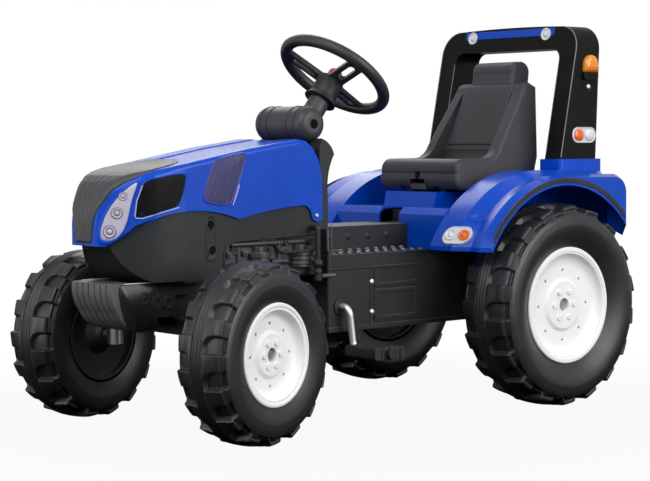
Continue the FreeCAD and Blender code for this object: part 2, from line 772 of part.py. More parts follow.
def steering():
    """Steering wheel, shaft with its lower arm and pin, horn button and its spring."""
    along = pin_plane()[0]
    hub_top = -WHEEL_DISH + 2.0
    hub_low = hub_top - HUB_BARREL_LENGTH
    parts = [Part.makeTorus(WHEEL_RADIUS, WHEEL_GRIP_RADIUS)]
    for angle in (0, 120, 240):
        parts.append(spun(spoke(), Vector(0, 0, 0), Z_AXIS, angle))
    parts.append(bar_z(HUB_BARREL_RADIUS, hub_low, hub_top, 0, 0))
    parts.append(Part.makeCone(SKIRT_RADIUS, HUB_BARREL_RADIUS, 10.0, Vector(0, 0, hub_low)))
    shaft_top = hub_top - HORN_HEIGHT - HORN_TRAVEL
    wheel = union(parts)
    wheel = wheel.cut(bar_z(SHAFT_RADIUS + RUN_FIT, hub_low - 1, shaft_top + 1, 0, 0))
    cup_low = shaft_top + RUN_FIT
    wheel = wheel.cut(bar_z(HORN_RADIUS + RUN_FIT, cup_low, hub_top + SPOKE_WALL, 0, 0))
    save("steering_wheel", on_column(wheel))
    button_low = cup_low + HORN_TRAVEL
    button = bar_z(HORN_RADIUS, button_low, button_low + HORN_HEIGHT + 5.0, 0, 0)
    button = rounded(button, 4.0, lambda edge: edge.CenterOfMass.z > button_low + HORN_HEIGHT)
    well = bar_z(HORN_RADIUS - 5.0, button_low, button_low + HORN_HEIGHT - 3.0, 0, 0)
    save("horn_button", on_column(button.cut(well)))
    shaft = bar_z(SHAFT_RADIUS, 4.0 - along, shaft_top, 0, 0)
    reach = TIE_WIDTH / 2 + 1.0
    arm_low = 2 * ARM_WALL - along
    arm = union([
        box(-reach, reach, 0, ARM_LENGTH, arm_low, arm_low + ARM_WALL),
        bar_z(SHAFT_RADIUS + 5.0, arm_low, arm_low + ARM_WALL, 0, 0),
        bar_z(reach, arm_low, arm_low + ARM_WALL, 0, ARM_LENGTH),
        bar_z(PIN_RADIUS, -along - 2 * ARM_WALL, arm_low, 0, ARM_LENGTH),
    ])
    save("steering_shaft", on_column(shaft.fuse(arm).removeSplitter()))


# Chassis and drive

def drive_hole(radius, y, z):
    """Cross hole through both chassis walls."""
    return bar_x(radius, -CHASSIS_HALF - 1, CHASSIS_HALF + 1, y, z)


def foot_grips():
    """Two rows of domes along each foot step and the round domes on the tunnel's flanks."""
    domes = []
    for row, count in ((0, GRIP_COUNT), (1, GRIP_COUNT - 1)):
        for index in range(count):
            y = DASH_REAR + 26.0 + GRIP_PITCH * (index + 0.5 * row)
            x = CHASSIS_HALF - 14.0 - 22.0 * row
            ball = Part.makeSphere(GRIP_RADIUS, Vector(x, y, STEP_Z + GRIP_HEIGHT - GRIP_RADIUS))
            domes += both_sides(ball)
    for index in range(RIVET_COUNT):
        y = DASH_REAR + 30.0 + RIVET_PITCH * index
        x = TUNNEL_HALF + GRIP_HEIGHT - RIVET_RADIUS
        domes += both_sides(Part.makeSphere(RIVET_RADIUS, Vector(x, y, (STEP_Z + TUNNEL_TOP) / 2 + 4)))
    return domes


def side_panels():
    """Raised frames on the chassis flanks."""
    low = CHASSIS_BOTTOM + 16.0
    high = STEP_Z - 24.0
    mid = low + 0.62 * (high - low)
    panels = []
    for bottom, top in ((low, mid - 6.0), (mid, high)):
        frame = box(CHASSIS_HALF - 1, CHASSIS_HALF + PANEL_RIB, 10.0, 118.0, bottom, top)
        inner = box(CHASSIS_HALF - 2, CHASSIS_HALF + PANEL_RIB + 1, 16.0, 112.0, bottom + 6, top - 6)
        panels += both_sides(frame.cut(inner))
    rail = box(CHASSIS_HALF - 1, CHASSIS_HALF + PANEL_RIB, CHASSIS_FRONT, 250.0,
               CHASSIS_BOTTOM, CHASSIS_BOTTOM + 8.0)
    return panels + both_sides(rail)


def chassis():
    """Chassis tub with steps, tunnel and spine, its floor cover and the tow hitch."""
    wall = CHASSIS_WALL
    tub = union([
        box(-CHASSIS_HALF, CHASSIS_HALF, CHASSIS_FRONT, CHASSIS_REAR, CHASSIS_BOTTOM, STEP_Z),
        box(-TUNNEL_HALF, TUNNEL_HALF, DASH_REAR, TUNNEL_REAR, STEP_Z - wall, TUNNEL_TOP),
        box(-SPINE_HALF, SPINE_HALF, TUNNEL_REAR - 1.0, SPINE_REAR, STEP_Z - wall, TUNNEL_TOP),
        box(-SPINE_HALF, SPINE_HALF, SPINE_REAR - 12.0, SPINE_REAR, TUNNEL_TOP - wall, SPINE_TOP),
    ])
    tub = rounded(tub, 4.0, lambda edge: runs_along(edge, Z_AXIS) and abs(edge.CenterOfMass.x) > TUNNEL_HALF)
    hollow = union([
        box(wall - CHASSIS_HALF, CHASSIS_HALF - wall, CHASSIS_FRONT + wall, CHASSIS_REAR - wall,
            CHASSIS_BOTTOM - 1, STEP_Z - wall),
        box(wall - TUNNEL_HALF, TUNNEL_HALF - wall, DASH_REAR + wall, TUNNEL_REAR - wall,
            CHASSIS_BOTTOM, TUNNEL_TOP - wall),
        box(wall - SPINE_HALF, SPINE_HALF - wall, TUNNEL_REAR - 2 * wall, SPINE_REAR - wall,
            CHASSIS_BOTTOM, TUNNEL_TOP - wall),
        box(wall - SPINE_HALF, SPINE_HALF - wall, SPINE_REAR - 12.0 + wall, SPINE_REAR - wall,
            CHASSIS_BOTTOM, SPINE_TOP - wall),
    ])
    tub = tub.multiFuse(foot_grips() + side_panels()).cut(hollow)
    bush = AXLE_RADIUS + BUSH_WALL
    tub = tub.cut(drive_hole(bush, REAR_AXLE_Y, REAR_RADIUS))
    tub = tub.cut(drive_hole(CRANK_ROD_RADIUS + BUSH_WALL, CRANK_Y, CRANK_Z))
    save("chassis_shell", tub.removeSplitter())
    floor = box(wall - CHASSIS_HALF, CHASSIS_HALF - wall, CHASSIS_FRONT + wall, CHASSIS_REAR - wall,
                CHASSIS_BOTTOM, CHASSIS_BOTTOM + FLOOR_WALL)
    save("chassis_floor", floor)
    hitch = plan_prism((-HITCH_HALF, HITCH_START), [
        line(-HITCH_HALF, HITCH_END - HITCH_HALF),
        arc(0, HITCH_END, HITCH_HALF, HITCH_END - HITCH_HALF),
        line(HITCH_HALF, HITCH_START),
    ], CHASSIS_BOTTOM - HITCH_WALL, CHASSIS_BOTTOM)
    hole = bar_z(HITCH_BORE_RADIUS, CHASSIS_BOTTOM - HITCH_WALL - 1, CHASSIS_BOTTOM + 1,
                 0, HITCH_END - HITCH_BORE_INSET)
    save("tow_hitch", hitch.cut(hole))


def flanged_bushes(bore_radius, y, z):
    """Pair of flanged bushes in the chassis walls."""
    outer = CHASSIS_HALF + BUSH_FLANGE
    bush = union([
        bar_x(bore_radius + BUSH_WALL, CHASSIS_HALF - CHASSIS_WALL - BUSH_FLANGE, outer, y, z),
        bar_x(BUSH_FLANGE_RADIUS, CHASSIS_HALF, outer, y, z),
    ])
    bore = bar_x(bore_radius + RUN_FIT, 0, outer + 1, y, z)
    return both_sides(bush.cut(bore))


def pitch_radius(teeth):
    """Pitch radius of a sprocket."""
    return CHAIN_PITCH / (2 * math.sin(math.pi / teeth))


def sprocket(teeth, bore, y, z):
    """Toothed disc with a hub, in the chain's plane."""
    pitch = pitch_radius(teeth)
    root = pitch - CHAIN_ROLLER_RADIUS
    tip = pitch + 0.6 * CHAIN_ROLLER_RADIUS
    x0 = CHAIN_X - SPROCKET_WIDTH / 2
    x1 = CHAIN_X + SPROCKET_WIDTH / 2
    disc = bar_x(tip, x0, x1, y, z)
    gaps = []
    for index in range(teeth):
        gap = bar_x(CHAIN_ROLLER_RADIUS + SEAT_FIT, x0 - 1, x1 + 1, y, z + pitch)
        gaps.append(spun(gap, Vector(0, y, z), X_AXIS, 360.0 * index / teeth))
    disc = disc.cut(Part.makeCompound(gaps))
    hub_radius = min(SPROCKET_HUB_RADIUS, root - 2.0)
    hub = bar_x(hub_radius, x0, x0 + SPROCKET_HUB_LENGTH, y, z)
    return disc.fuse(hub).cut(bar_x(bore + RUN_FIT, x0 - 1, x0 + SPROCKET_HUB_LENGTH + 1, y, z))


def chain():
    """Roller chain: two side-plate loops, with rollers along both straight runs."""
    span_y = REAR_AXLE_Y - CRANK_Y
    span_z = REAR_RADIUS - CRANK_Z
    span = math.hypot(span_y, span_z)
    big = pitch_radius(CRANK_TEETH)
    small = pitch_radius(AXLE_TEETH)
    lean = math.atan2(span_z, span_y)
    wrap = math.asin((big - small) / span)

    def rim_point(centre, radius, angle):
        return (centre[0] + radius * math.cos(angle), centre[1] + radius * math.sin(angle))

    def loop(grow, x0, x1):
        front = (CRANK_Y, CRANK_Z)
        back = (REAR_AXLE_Y, REAR_RADIUS)
        upper = lean + math.pi / 2 - wrap
        lower = lean - math.pi / 2 + wrap
        start = rim_point(front, big + grow, upper)
        return side_prism(start, [
            line(*rim_point(back, small + grow, upper)),
            arc(*rim_point(back, small + grow, lean), *rim_point(back, small + grow, lower)),
            line(*rim_point(front, big + grow, lower)),
            arc(*rim_point(front, big + grow, lean + math.pi), *start),
        ], x0, x1)

    half = CHAIN_HEIGHT / 2
    inner = CHAIN_X - CHAIN_GAP / 2
    outer = CHAIN_X + CHAIN_GAP / 2
    plates = []
    for x0, x1 in ((inner - CHAIN_PLATE, inner), (outer, outer + CHAIN_PLATE)):
        plates.append(loop(half, x0, x1).cut(loop(-half, x0 - 1, x1 + 1)))
    rollers = []
    clear = 2.5 * CHAIN_ROLLER_RADIUS + CHAIN_PITCH
    run = span * math.cos(wrap)
    count = int((run - 2 * clear) / CHAIN_PITCH)
    for sign in (1, -1):
        angle = lean + sign * (math.pi / 2 - wrap)
        first = rim_point((CRANK_Y, CRANK_Z), big, angle)
        last = rim_point((REAR_AXLE_Y, REAR_RADIUS), small, angle)
        for index in range(count + 1):
            share = (clear + index * CHAIN_PITCH) / run
            y = first[0] + share * (last[0] - first[0])
            z = first[1] + share * (last[1] - first[1])
            rollers.append(bar_x(CHAIN_ROLLER_RADIUS, inner - 0.5, outer + 0.5, y, z))
    return plates[0].multiFuse(plates[1:] + rollers)


def drive():
    """Rear axle with its drive pin, spacers, all bushes, sprockets and chain."""
    hub_out = REAR_TRACK_HALF + REAR_WIDTH / 2 - REAR_RIM_INSET - RIM_DISH - 2 * RIM_WALL
    hub_in = REAR_TRACK_HALF - REAR_WIDTH / 2 - REAR_HUB_REACH
    end = hub_out + AXLE_CAP_LENGTH / 2 - 0.5
    axle = bar_x(AXLE_RADIUS, -end, end, REAR_AXLE_Y, REAR_RADIUS)
    save("rear_axle", axle.cut(drive_pin()))
    save("drive_pin", drive_pin())
    start = CHASSIS_HALF + BUSH_FLANGE + SWING_FIT
    tube = bar_x(AXLE_RADIUS + SPACER_WALL, start, hub_in - SWING_FIT, REAR_AXLE_Y, REAR_RADIUS)
    tube = tube.cut(bar_x(AXLE_RADIUS + RUN_FIT, 0, hub_in, REAR_AXLE_Y, REAR_RADIUS))
    save("axle_spacers", Part.makeCompound(both_sides(tube)))
    bushes = flanged_bushes(AXLE_RADIUS, REAR_AXLE_Y, REAR_RADIUS)
    bushes += flanged_bushes(CRANK_ROD_RADIUS, CRANK_Y, CRANK_Z)
    save("bushes", Part.makeCompound(bushes + [shaft_bush()]))
    save("axle_sprocket", sprocket(AXLE_TEETH, AXLE_RADIUS, REAR_AXLE_Y, REAR_RADIUS))
    save("crank_sprocket", sprocket(CRANK_TEETH, CRANK_ROD_RADIUS, CRANK_Y, CRANK_Z))
    save("drive_chain", chain())


def bent_rod():
    """Left half of the crank: axle, arm straight down and pedal pin."""
    bend = CRANK_BEND
    slack = bend * (1 - math.sqrt(0.5))
    arm_x = CRANK_ARM_X
    pin_end = arm_x + PEDAL_GAP + PEDAL_WIDTH + PEDAL_CAP_LENGTH
    low = -CRANK_ARM
    points = [Vector(0, 0, 0), Vector(arm_x - bend, 0, 0), Vector(arm_x - slack, 0, -slack),
              Vector(arm_x, 0, -bend), Vector(arm_x, 0, low + bend), Vector(arm_x + slack, 0, low + slack),
              Vector(arm_x + bend, 0, low), Vector(pin_end, 0, low)]
    path = Part.Wire([
        Part.LineSegment(points[0], points[1]).toShape(),
        Part.Arc(points[1], points[2], points[3]).toShape(),
        Part.LineSegment(points[3], points[4]).toShape(),
        Part.Arc(points[4], points[5], points[6]).toShape(),
        Part.LineSegment(points[6], points[7]).toShape(),
    ])
    section = Part.Wire([Part.makeCircle(CRANK_ROD_RADIUS, Vector(0, 0, 0), X_AXIS)])
    return path.makePipeShell([section], True, False)


def pedal():
    """Grooved pedal block about its pin, from its inner end."""
    half = PEDAL_LENGTH / 2
    tall = PEDAL_HEIGHT / 2
    block = box(0, PEDAL_WIDTH, -half, half, -tall, tall)
    block = rounded(block, 6.0, lambda edge: runs_along(edge, X_AXIS))
    grooves = []
    for index in range(5):
        y = half * (index - 2) * 0.36
        for side in (1, -1):
            grooves.append(bar_x(3.0, -1, PEDAL_WIDTH + 1, y, side * (tall + 1.0)))
    scallops = []
    for index in range(3):
        y = half * (index - 1) * 0.62
        scallops.append(bar_z(4.0, -tall - 1, tall + 1, PEDAL_WIDTH + 1.0, y))
    bore = bar_x(CRANK_ROD_RADIUS + RUN_FIT, -1, PEDAL_WIDTH + 1, 0, 0)
    return block.cut(Part.makeCompound(grooves + scallops)).cut(bore)


def crank():
    """Crank rod, pedals and the caps that keep them on."""
    centre = Vector(0, CRANK_Y, CRANK_Z)
    left = moved(bent_rod(), 0, CRANK_Y, CRANK_Z)
    right = spun(left, centre, Y_AXIS, 180)
    save("crank_rod", spun(left.fuse(right).removeSplitter(), centre, X_AXIS, CRANK_ANGLE))
    x0 = CRANK_ARM_X + PEDAL_GAP
    x1 = x0 + PEDAL_WIDTH + SWING_FIT
    angle = math.radians(CRANK_ANGLE)
    cap = bar_x(PEDAL_CAP_RADIUS, x1, x1 + PEDAL_CAP_LENGTH + 2.0, 0, 0)
    cap = cap.cut(bar_x(CRANK_ROD_RADIUS + RUN_FIT, 0, x1 + PEDAL_CAP_LENGTH, 0, 0))
    caps = []
    for side, word in ((1, "left"), (-1, "right")):
        y = CRANK_Y + side * CRANK_ARM * math.sin(angle)
        z = CRANK_Z - side * CRANK_ARM * math.cos(angle)
        block = moved(pedal(), x0, 0, 0)
        end = cap
        if side < 0:
            block = mirrored(block)
            end = mirrored(cap)
        save("pedal_" + word, moved(block, 0, y, z))
        caps.append(moved(end, 0, y, z))
    save("pedal_caps", Part.makeCompound(caps))


# Bonnet, engine body and dash

def bonnet_section(y, half, top, corner):
    """Cross-section of the bonnet with rounded upper corners."""
    low = ENGINE_BOTTOM
    soft = corner * (1 - math.sqrt(0.5))
    face = outline((-half, low), [
        line(-half, top - corner),
        arc(soft - half, top - soft, corner - half, top),
        line(half - corner, top),
        arc(half - soft, top - soft, half, top - corner),
        line(half, low),
    ], lambda x, z: Vector(x, y, z))
    return face.OuterWire


def bonnet_form(grow, depth=0.0):
    """Bonnet's outer form, grown or shrunk, before its lower edge is cut."""
    wide = BONNET_HALF
    tail = BONNET_REAR - NOSE_Y
    # Distance behind the nose, half-width, top height, corner radius
    stations = [
        (0.0, NOSE_HALF, 368.0, 6.0),
        (2.5, 0.40 * wide, 388.0, 8.0),
        (7.0, 0.425 * wide, 403.0, 11.0),
        (14.0, 0.47 * wide, 418.0, 14.0),
        (25.0, 0.575 * wide, 431.0, 17.0),
        (43.0, 0.73 * wide, 442.0, 19.0),
        (62.0, 0.85 * wide, 447.5, 17.0),
        (85.0, 0.935 * wide, 452.0, 14.0),
        (111.0, 0.978 * wide, 456.5, 11.0),
        (141.0, wide, 462.0, BONNET_ROUND),
        (194.0, wide, 471.5, BONNET_ROUND),
        (282.0, wide, 487.0, BONNET_ROUND),
        (tail - 52.0, wide, 502.0, BONNET_ROUND),
        (tail - 35.0, wide, 499.5, BONNET_ROUND),
        (tail - 19.0, wide, 488.0, BONNET_ROUND),
        (tail - 7.0, wide, 468.0, BONNET_ROUND),
        (tail, wide, 440.0, BONNET_ROUND),
    ]
    wires = []
    for back, half, top, corner in stations:
        shift = grow * (max(0.0, 1.0 - (tail - back) / 52.0) - max(0.0, 1.0 - back / 43.0))
        y = NOSE_Y + back + shift
        wires.append(bonnet_section(y, half + grow, top + grow - depth, corner + grow))
    return Part.makeLoft(wires, True, True)


def below_bonnet():
    """Everything under the bonnet's wavy lower edge."""
    rear = BONNET_REAR
    return side_prism((rear + 80.0, 200.0), [
        line(NOSE_Y - 40.0, 200.0),
        line(NOSE_Y - 40.0, 327.0),
        line(NOSE_Y + 14.0, 327.0),
        arc(NOSE_Y + 33.0, 342.0, NOSE_Y + 53.0, 361.0),
        arc(NOSE_Y + 94.0, 374.5, NOSE_Y + 160.0, 382.0),
        arc(NOSE_Y + 210.0, 378.0, rear - 188.0, 365.0),
        arc(rear - 120.0, 378.0, rear - 42.0, 385.0),
        arc(rear - 32.0, 380.0, rear - 24.0, 364.0),
        arc(rear - 13.0, 355.0, rear - 2.0, 358.0),
        line(rear + 80.0, 358.0),
    ], -200.0, 200.0)


def bonnet_and_trim():
    """Bonnet shell, nose grille, headlights, side vents, mesh vents and studs."""
    outer = bonnet_form(0.0)
    inside = bonnet_form(-BONNET_WALL)
    open_end = box(BONNET_WALL - BONNET_HALF, BONNET_HALF - BONNET_WALL,
                   BONNET_REAR - 30.0, BONNET_REAR + 10.0, ENGINE_BOTTOM, 452.0)
    shell = outer.cut(inside).cut(open_end).cut(below_bonnet())
    reach = 200.0
    trough = plan_prism((-CHANNEL_HALF, BONNET_REAR - 20.0), [
        line(-CHANNEL_HALF, NOSE_Y + 170.0),
        line(CHANNEL_HALF, NOSE_Y + 170.0),
        line(CHANNEL_HALF, BONNET_REAR - 20.0),
    ], 420.0, 600.0)
    channel = outer.cut(bonnet_form(0.0, CHANNEL_DEPTH / 2)).common(trough)
    shell = shell.cut(channel)
    stud_y = BONNET_REAR - 14.0
    stud_z = 366.0
    for side in (1, -1):
        x0 = min(side * reach, 0)
        shell = shell.cut(bar_x(STUD_RADIUS + RUN_FIT, x0, x0 + reach, stud_y, stud_z))
    low = column_point(2 * SLEEVE_END)
    shell = shell.cut(Part.makeCylinder(SHAFT_RADIUS + SHAFT_ROOM, SLEEVE_END * 2, low, column_axis()))
    save("bonnet", shell)
    strip = plan_prism((-reach, NOSE_Y - 40.0), [
        line(-reach, NOSE_Y + 85.0),
        line(-0.9 * BONNET_HALF, NOSE_Y + 85.0),
        arc(-0.84 * BONNET_HALF, NOSE_Y + 122.0, -0.62 * BONNET_HALF, NOSE_Y + 154.0),
        arc(0, NOSE_Y + 174.0, 0.62 * BONNET_HALF, NOSE_Y + 154.0),
        arc(0.84 * BONNET_HALF, NOSE_Y + 122.0, 0.9 * BONNET_HALF, NOSE_Y + 85.0),
        line(reach, NOSE_Y + 85.0),
        line(reach, NOSE_Y - 40.0),
    ], 300.0, 600.0)
    shield = front_prism((-GRILLE_FOOT_HALF, 331.0), [
        line(-GRILLE_FOOT_HALF - 4.0, 364.0),
        arc(-0.44 * BONNET_HALF, 397.0, -0.58 * BONNET_HALF, 423.5),
        arc(-0.77 * BONNET_HALF, 440.0, -reach, 452.0),
        line(-reach, 600.0),
        line(reach, 600.0),
        line(reach, 452.0),
        arc(0.77 * BONNET_HALF, 440.0, 0.58 * BONNET_HALF, 423.5),
        arc(0.44 * BONNET_HALF, 397.0, GRILLE_FOOT_HALF + 4.0, 364.0),
        line(GRILLE_FOOT_HALF, 331.0),
    ], NOSE_Y - 50.0, NOSE_Y + 220.0)
    strip = strip.common(shield)
    save("nose_grille", bonnet_form(GRILLE_PROUD).common(strip).cut(outer))
    skin = bonnet_form(TRIM_PROUD).cut(outer)
    nose = NOSE_Y
    patches = {
        "headlight": ((nose + 55.0, 431.0), [
            arc(nose + 26.0, 397.0, nose + 14.0, 354.0),
            line(nose + 15.0, 341.0),
            line(nose + 21.0, 340.0),
            arc(nose + 34.0, 351.0, nose + 41.0, 369.0),
            line(nose + 46.0, 397.0),
        ]),
        "side_vent": ((nose + 65.0, 430.0), [
            line(nose + 78.0, 436.0),
            line(nose + 146.0, 447.0),
            line(nose + 130.0, 393.0),
            line(nose + 94.0, 384.0),
            line(nose + 51.0, 371.0),
            line(nose + 57.0, 403.0),
        ]),
        "mesh_vent": ((nose + 203.0, 466.0), [
            line(nose + 244.0, 474.0),
            line(nose + 272.0, 479.0),
            line(nose + 239.0, 390.0),
            line(nose + 180.0, 399.0),
            line(nose + 182.0, 419.0),
        ]),
    }
    groups = {}
    for name, (start, moves) in patches.items():
        left = skin.common(side_prism(start, moves, GRILLE_FOOT_HALF, reach))
        groups[name] = both_sides(left)
    save("headlights", Part.makeCompound(groups["headlight"]))
    save("bonnet_vents", Part.makeCompound(groups["side_vent"] + groups["mesh_vent"]))
    wall_x = BONNET_HALF - BONNET_WALL - ENGINE_GAP
    stud = bar_x(STUD_RADIUS, wall_x, BONNET_HALF + STUD_HEAD, stud_y, stud_z)
    stud = rounded(stud, 1.5, lambda edge: edge.CenterOfMass.x > BONNET_HALF)
    save("bonnet_studs", Part.makeCompound(both_sides(stud)))


def engine_solid(grow, low):
    """Engine body's outer form, grown or shrunk, with its curved chin."""
    half = BONNET_HALF - BONNET_WALL - ENGINE_GAP + grow
    nose = ENGINE_NOSE_HALF + grow
    front = NOSE_Y + 14.0 - grow
    plan = plan_prism((-half, CHASSIS_FRONT + grow), [
        line(-half, NOSE_Y + 150.0),
        arc(-half * 0.76, NOSE_Y + 60.0 - grow * 0.7, -nose, front),
        line(nose, front),
        arc(half * 0.76, NOSE_Y + 60.0 - grow * 0.7, half, NOSE_Y + 150.0),
        line(half, CHASSIS_FRONT + grow),
    ], low, 400.0)
    chin = side_prism((CHASSIS_FRONT + 50.0, low), [
        line(NOSE_Y + 88.0, low),
        arc(NOSE_Y + 50.0 - 0.7 * grow, low + 20.0, NOSE_Y + 24.0 - grow, low + 58.0),
        line(NOSE_Y + 14.0 - grow, 400.0),
        line(CHASSIS_FRONT + 50.0, 400.0),
    ], -200.0, 200.0)
    return plan.common(chin)


def relief_front():
    """Front end of the engine relief."""
    return NOSE_Y + 225.0


def relief_window(grow):
    """Outline of the engine relief in the engine body's side."""
    rear = CHASSIS_FRONT - 8.0 + grow
    front = relief_front()
    low = ENGINE_BOTTOM + 10.0 - grow
    return side_prism((rear, low), [
        line(front - grow, low),
        line(front - grow, 306.0),
        arc(front + 8.0 - grow, 322.0 + grow, front + 32.0, 327.0 + grow),
        line(rear, 333.0 + grow),
    ], 0.0, 200.0)


def engine():
    """Engine body with its side windows, the relief panels in them and the side couplings."""
    wall = ENGINE_WALL
    half = BONNET_HALF - BONNET_WALL - ENGINE_GAP
    body = engine_solid(0.0, ENGINE_BOTTOM)
    nose_top = box(-200, 200, NOSE_Y - 50, NOSE_Y + 36.0, ENGINE_TOP + 18.0, 450)
    hollow = engine_solid(-wall, ENGINE_BOTTOM + wall)
    crown = box(-FRAME_HALF - SEAT_FIT, FRAME_HALF + SEAT_FIT, FRAME_FRONT - SEAT_FIT, 0,
                ENGINE_BOTTOM - 1, FRAME_TOP + SEAT_FIT)
    # The walls stand up inside the bonnet, behind its wavy lower edge, and lower at the nose.
    body = body.cut(hollow).cut(nose_top)
    front = box(-200, 200, NOSE_Y - 50, NOSE_Y + 200.0, ENGINE_BOTTOM - 1, 450)
    body = body.cut(front.cut(bonnet_form(-BONNET_WALL - ENGINE_GAP)))
    window = relief_window(0.0)
    body = body.cut(crown).cut(window).cut(mirrored(window))
    for side in (1, -1):
        hole = bar_x(SIDE_HOLE_RADIUS, min(side * 200.0, 0), max(side * 200.0, 0), NOSE_Y + 196.0, 312.0)
        body = body.cut(hole)
    save("engine_body", body)
    back = half - wall
    plate = relief_window(6.0).common(box(back - wall, back, NOSE_Y, 0, ENGINE_BOTTOM + wall, ENGINE_TOP + 20))
    details = []
    low = ENGINE_BOTTOM + 12.0
    first = relief_front()
    last = CHASSIS_FRONT
    for y in (last - 139.0, last - 48.0):
        details.append(bar_z(20.0, low, 298.0, back, y))
        details.append(bar_z(23.0, 298.0, 306.0, back, y))
        details.append(bar_z(13.0, 306.0, 316.0, back, y))
        for index in range(3):
            details.append(bar_z(21.5, low + 5.0 + 8.0 * index, low + 8.0 + 8.0 * index, back, y))
    details.append(bar_y(5.0, first + 16.0, last - 22.0, back + 1.0, 321.0))
    details.append(bar_y(4.0, first + 18.0, first + 46.0, back + 1.0, 285.0))
    details.append(bar_y(6.0, last - 112.0, last - 76.0, back + 1.0, 288.0))
    details.append(bar_z(5.0, 284.0, 322.0, back + 1.0, last - 94.0))
    details.append(bar_z(4.0, 285.0, 322.0, back + 1.0, first + 32.0))
    bosses = [(first + 12.0, 304.0), (first + 46.0, 306.0), (last - 94.0, 306.0), (last - 18.0, 300.0),
              (last - 18.0, 284.0)]
    for y, z in bosses:
        details.append(bar_x(6.0, back - 1.0, back + 5.0, y, z))
        details.append(bar_x(3.0, back - 1.0, back + 8.0, y, z))
    keep = box(back - wall, 200, first - 84.0, 0, ENGINE_BOTTOM, 400)
    panel = plate.multiFuse([detail.common(keep) for detail in details]).cut(body)
    save("engine_reliefs", Part.makeCompound(both_sides(panel)))
    stem_y = CHASSIS_FRONT - 22.0
    knob_x = CHASSIS_HALF - 2.0
    coupling = union([
        bar_x(5.0, half, knob_x, stem_y, ENGINE_TOP),
        bar_z(5.0, 262.0, ENGINE_TOP, knob_x, stem_y),
        Part.makeSphere(9.5, Vector(knob_x, stem_y, 282.0)),
        Part.makeSphere(8.0, Vector(knob_x, stem_y, 267.0)),
        bar_z(7.0, 252.0, 266.0, knob_x, stem_y),
    ])
    save("couplings", Part.makeCompound(both_sides(coupling)))


def dash():
    """Dash panel behind the bonnet and the cowl barrel with the column sleeve."""
    barrel = bar_x(COWL_RADIUS, -COWL_HALF, COWL_HALF, COWL_Y, COWL_Z)
    barrel = rounded(barrel, COWL_RADIUS * 0.55, lambda edge: not runs_along(edge, X_AXIS))
    length = SLEEVE_END - (HUB_BARREL_LENGTH + WHEEL_DISH + SWING_FIT)
    axis = column_axis()
    sleeve = Part.makeCylinder(SLEEVE_RADIUS, length, column_point(SLEEVE_END), axis)
    ring = Part.makeCylinder(SLEEVE_RADIUS + 3.0, 6.0, column_point(SLEEVE_END - 0.45 * length), axis)
    saddle = side_prism((COWL_Y, COWL_Z - COWL_RADIUS), [
        line(COWL_Y + 36.0, COWL_Z - COWL_RADIUS),
        line(COWL_Y + 52.0, COWL_Z - 4.0),
        line(COWL_Y + 20.0, COWL_Z + COWL_RADIUS - 8.0),
        line(COWL_Y, COWL_Z + COWL_RADIUS - 2.0),
    ], -SLEEVE_RADIUS - 8.0, SLEEVE_RADIUS + 8.0)
    cowl = union([barrel, saddle, sleeve, ring])
    bearing_end = SLEEVE_END - length + 2 * SHAFT_BUSH_LENGTH
    bore = Part.makeCylinder(SHAFT_RADIUS + 2.0, 300.0 - bearing_end, column_point(300.0), axis)
    bore = bore.fuse(Part.makeCylinder(SHAFT_RADIUS + RUN_FIT, 300.0, column_point(300.0), axis))
    pocket = bar_x(5.0, COWL_HALF - 14.0, COWL_HALF + 1.0, COWL_Y, COWL_Z)
    cowl = cowl.cut(bore).cut(pocket).cut(mirrored(pocket))
    front = CHASSIS_FRONT
    rear = DASH_REAR
    half = BONNET_HALF - BONNET_WALL - ENGINE_GAP
    panel = side_prism((front, STEP_Z), [
        line(front, 486.0),
        line(front + 8.0, 503.0),
        arc(rear + 7.0, 491.0, rear + 16.0, 474.0),
        arc(rear + 5.0, 450.0, rear, 420.0),
        line(rear, STEP_Z),
    ], -half, half)
    panel = rounded(panel, 6.0, lambda edge: edge.CenterOfMass.y > front + 10 and abs(edge.CenterOfMass.x) > half - 1)
    cowl = cowl.cut(box(-half, half, front, 0, STEP_Z, 503.0).common(panel))
    save("dash_cowl", cowl)
    save("dash_panel", panel.cut(bore).cut(barrel))


# Front weights

def weight_profile(inset):
    """Side outline of a front weight, shrunk by an inset."""
    front = CARRIER_FRONT - 49.0 + inset
    return (front, 264.0 - inset), [
        arc(front + 1.0, 238.0, front + 13.0, 214.0),
        arc(front + 30.0 - 0.3 * inset, 192.0 + 0.7 * inset, CARRIER_FRONT + 8.0, 181.0 + inset),
        arc(CARRIER_FRONT + 28.0, 186.0 + inset, CARRIER_FRONT + 38.0 - inset, 204.0),
        line(CARRIER_FRONT + 30.0 - inset, 204.0),
        line(CARRIER_FRONT, 204.0),
        line(CARRIER_FRONT, 264.0 - inset),
    ]


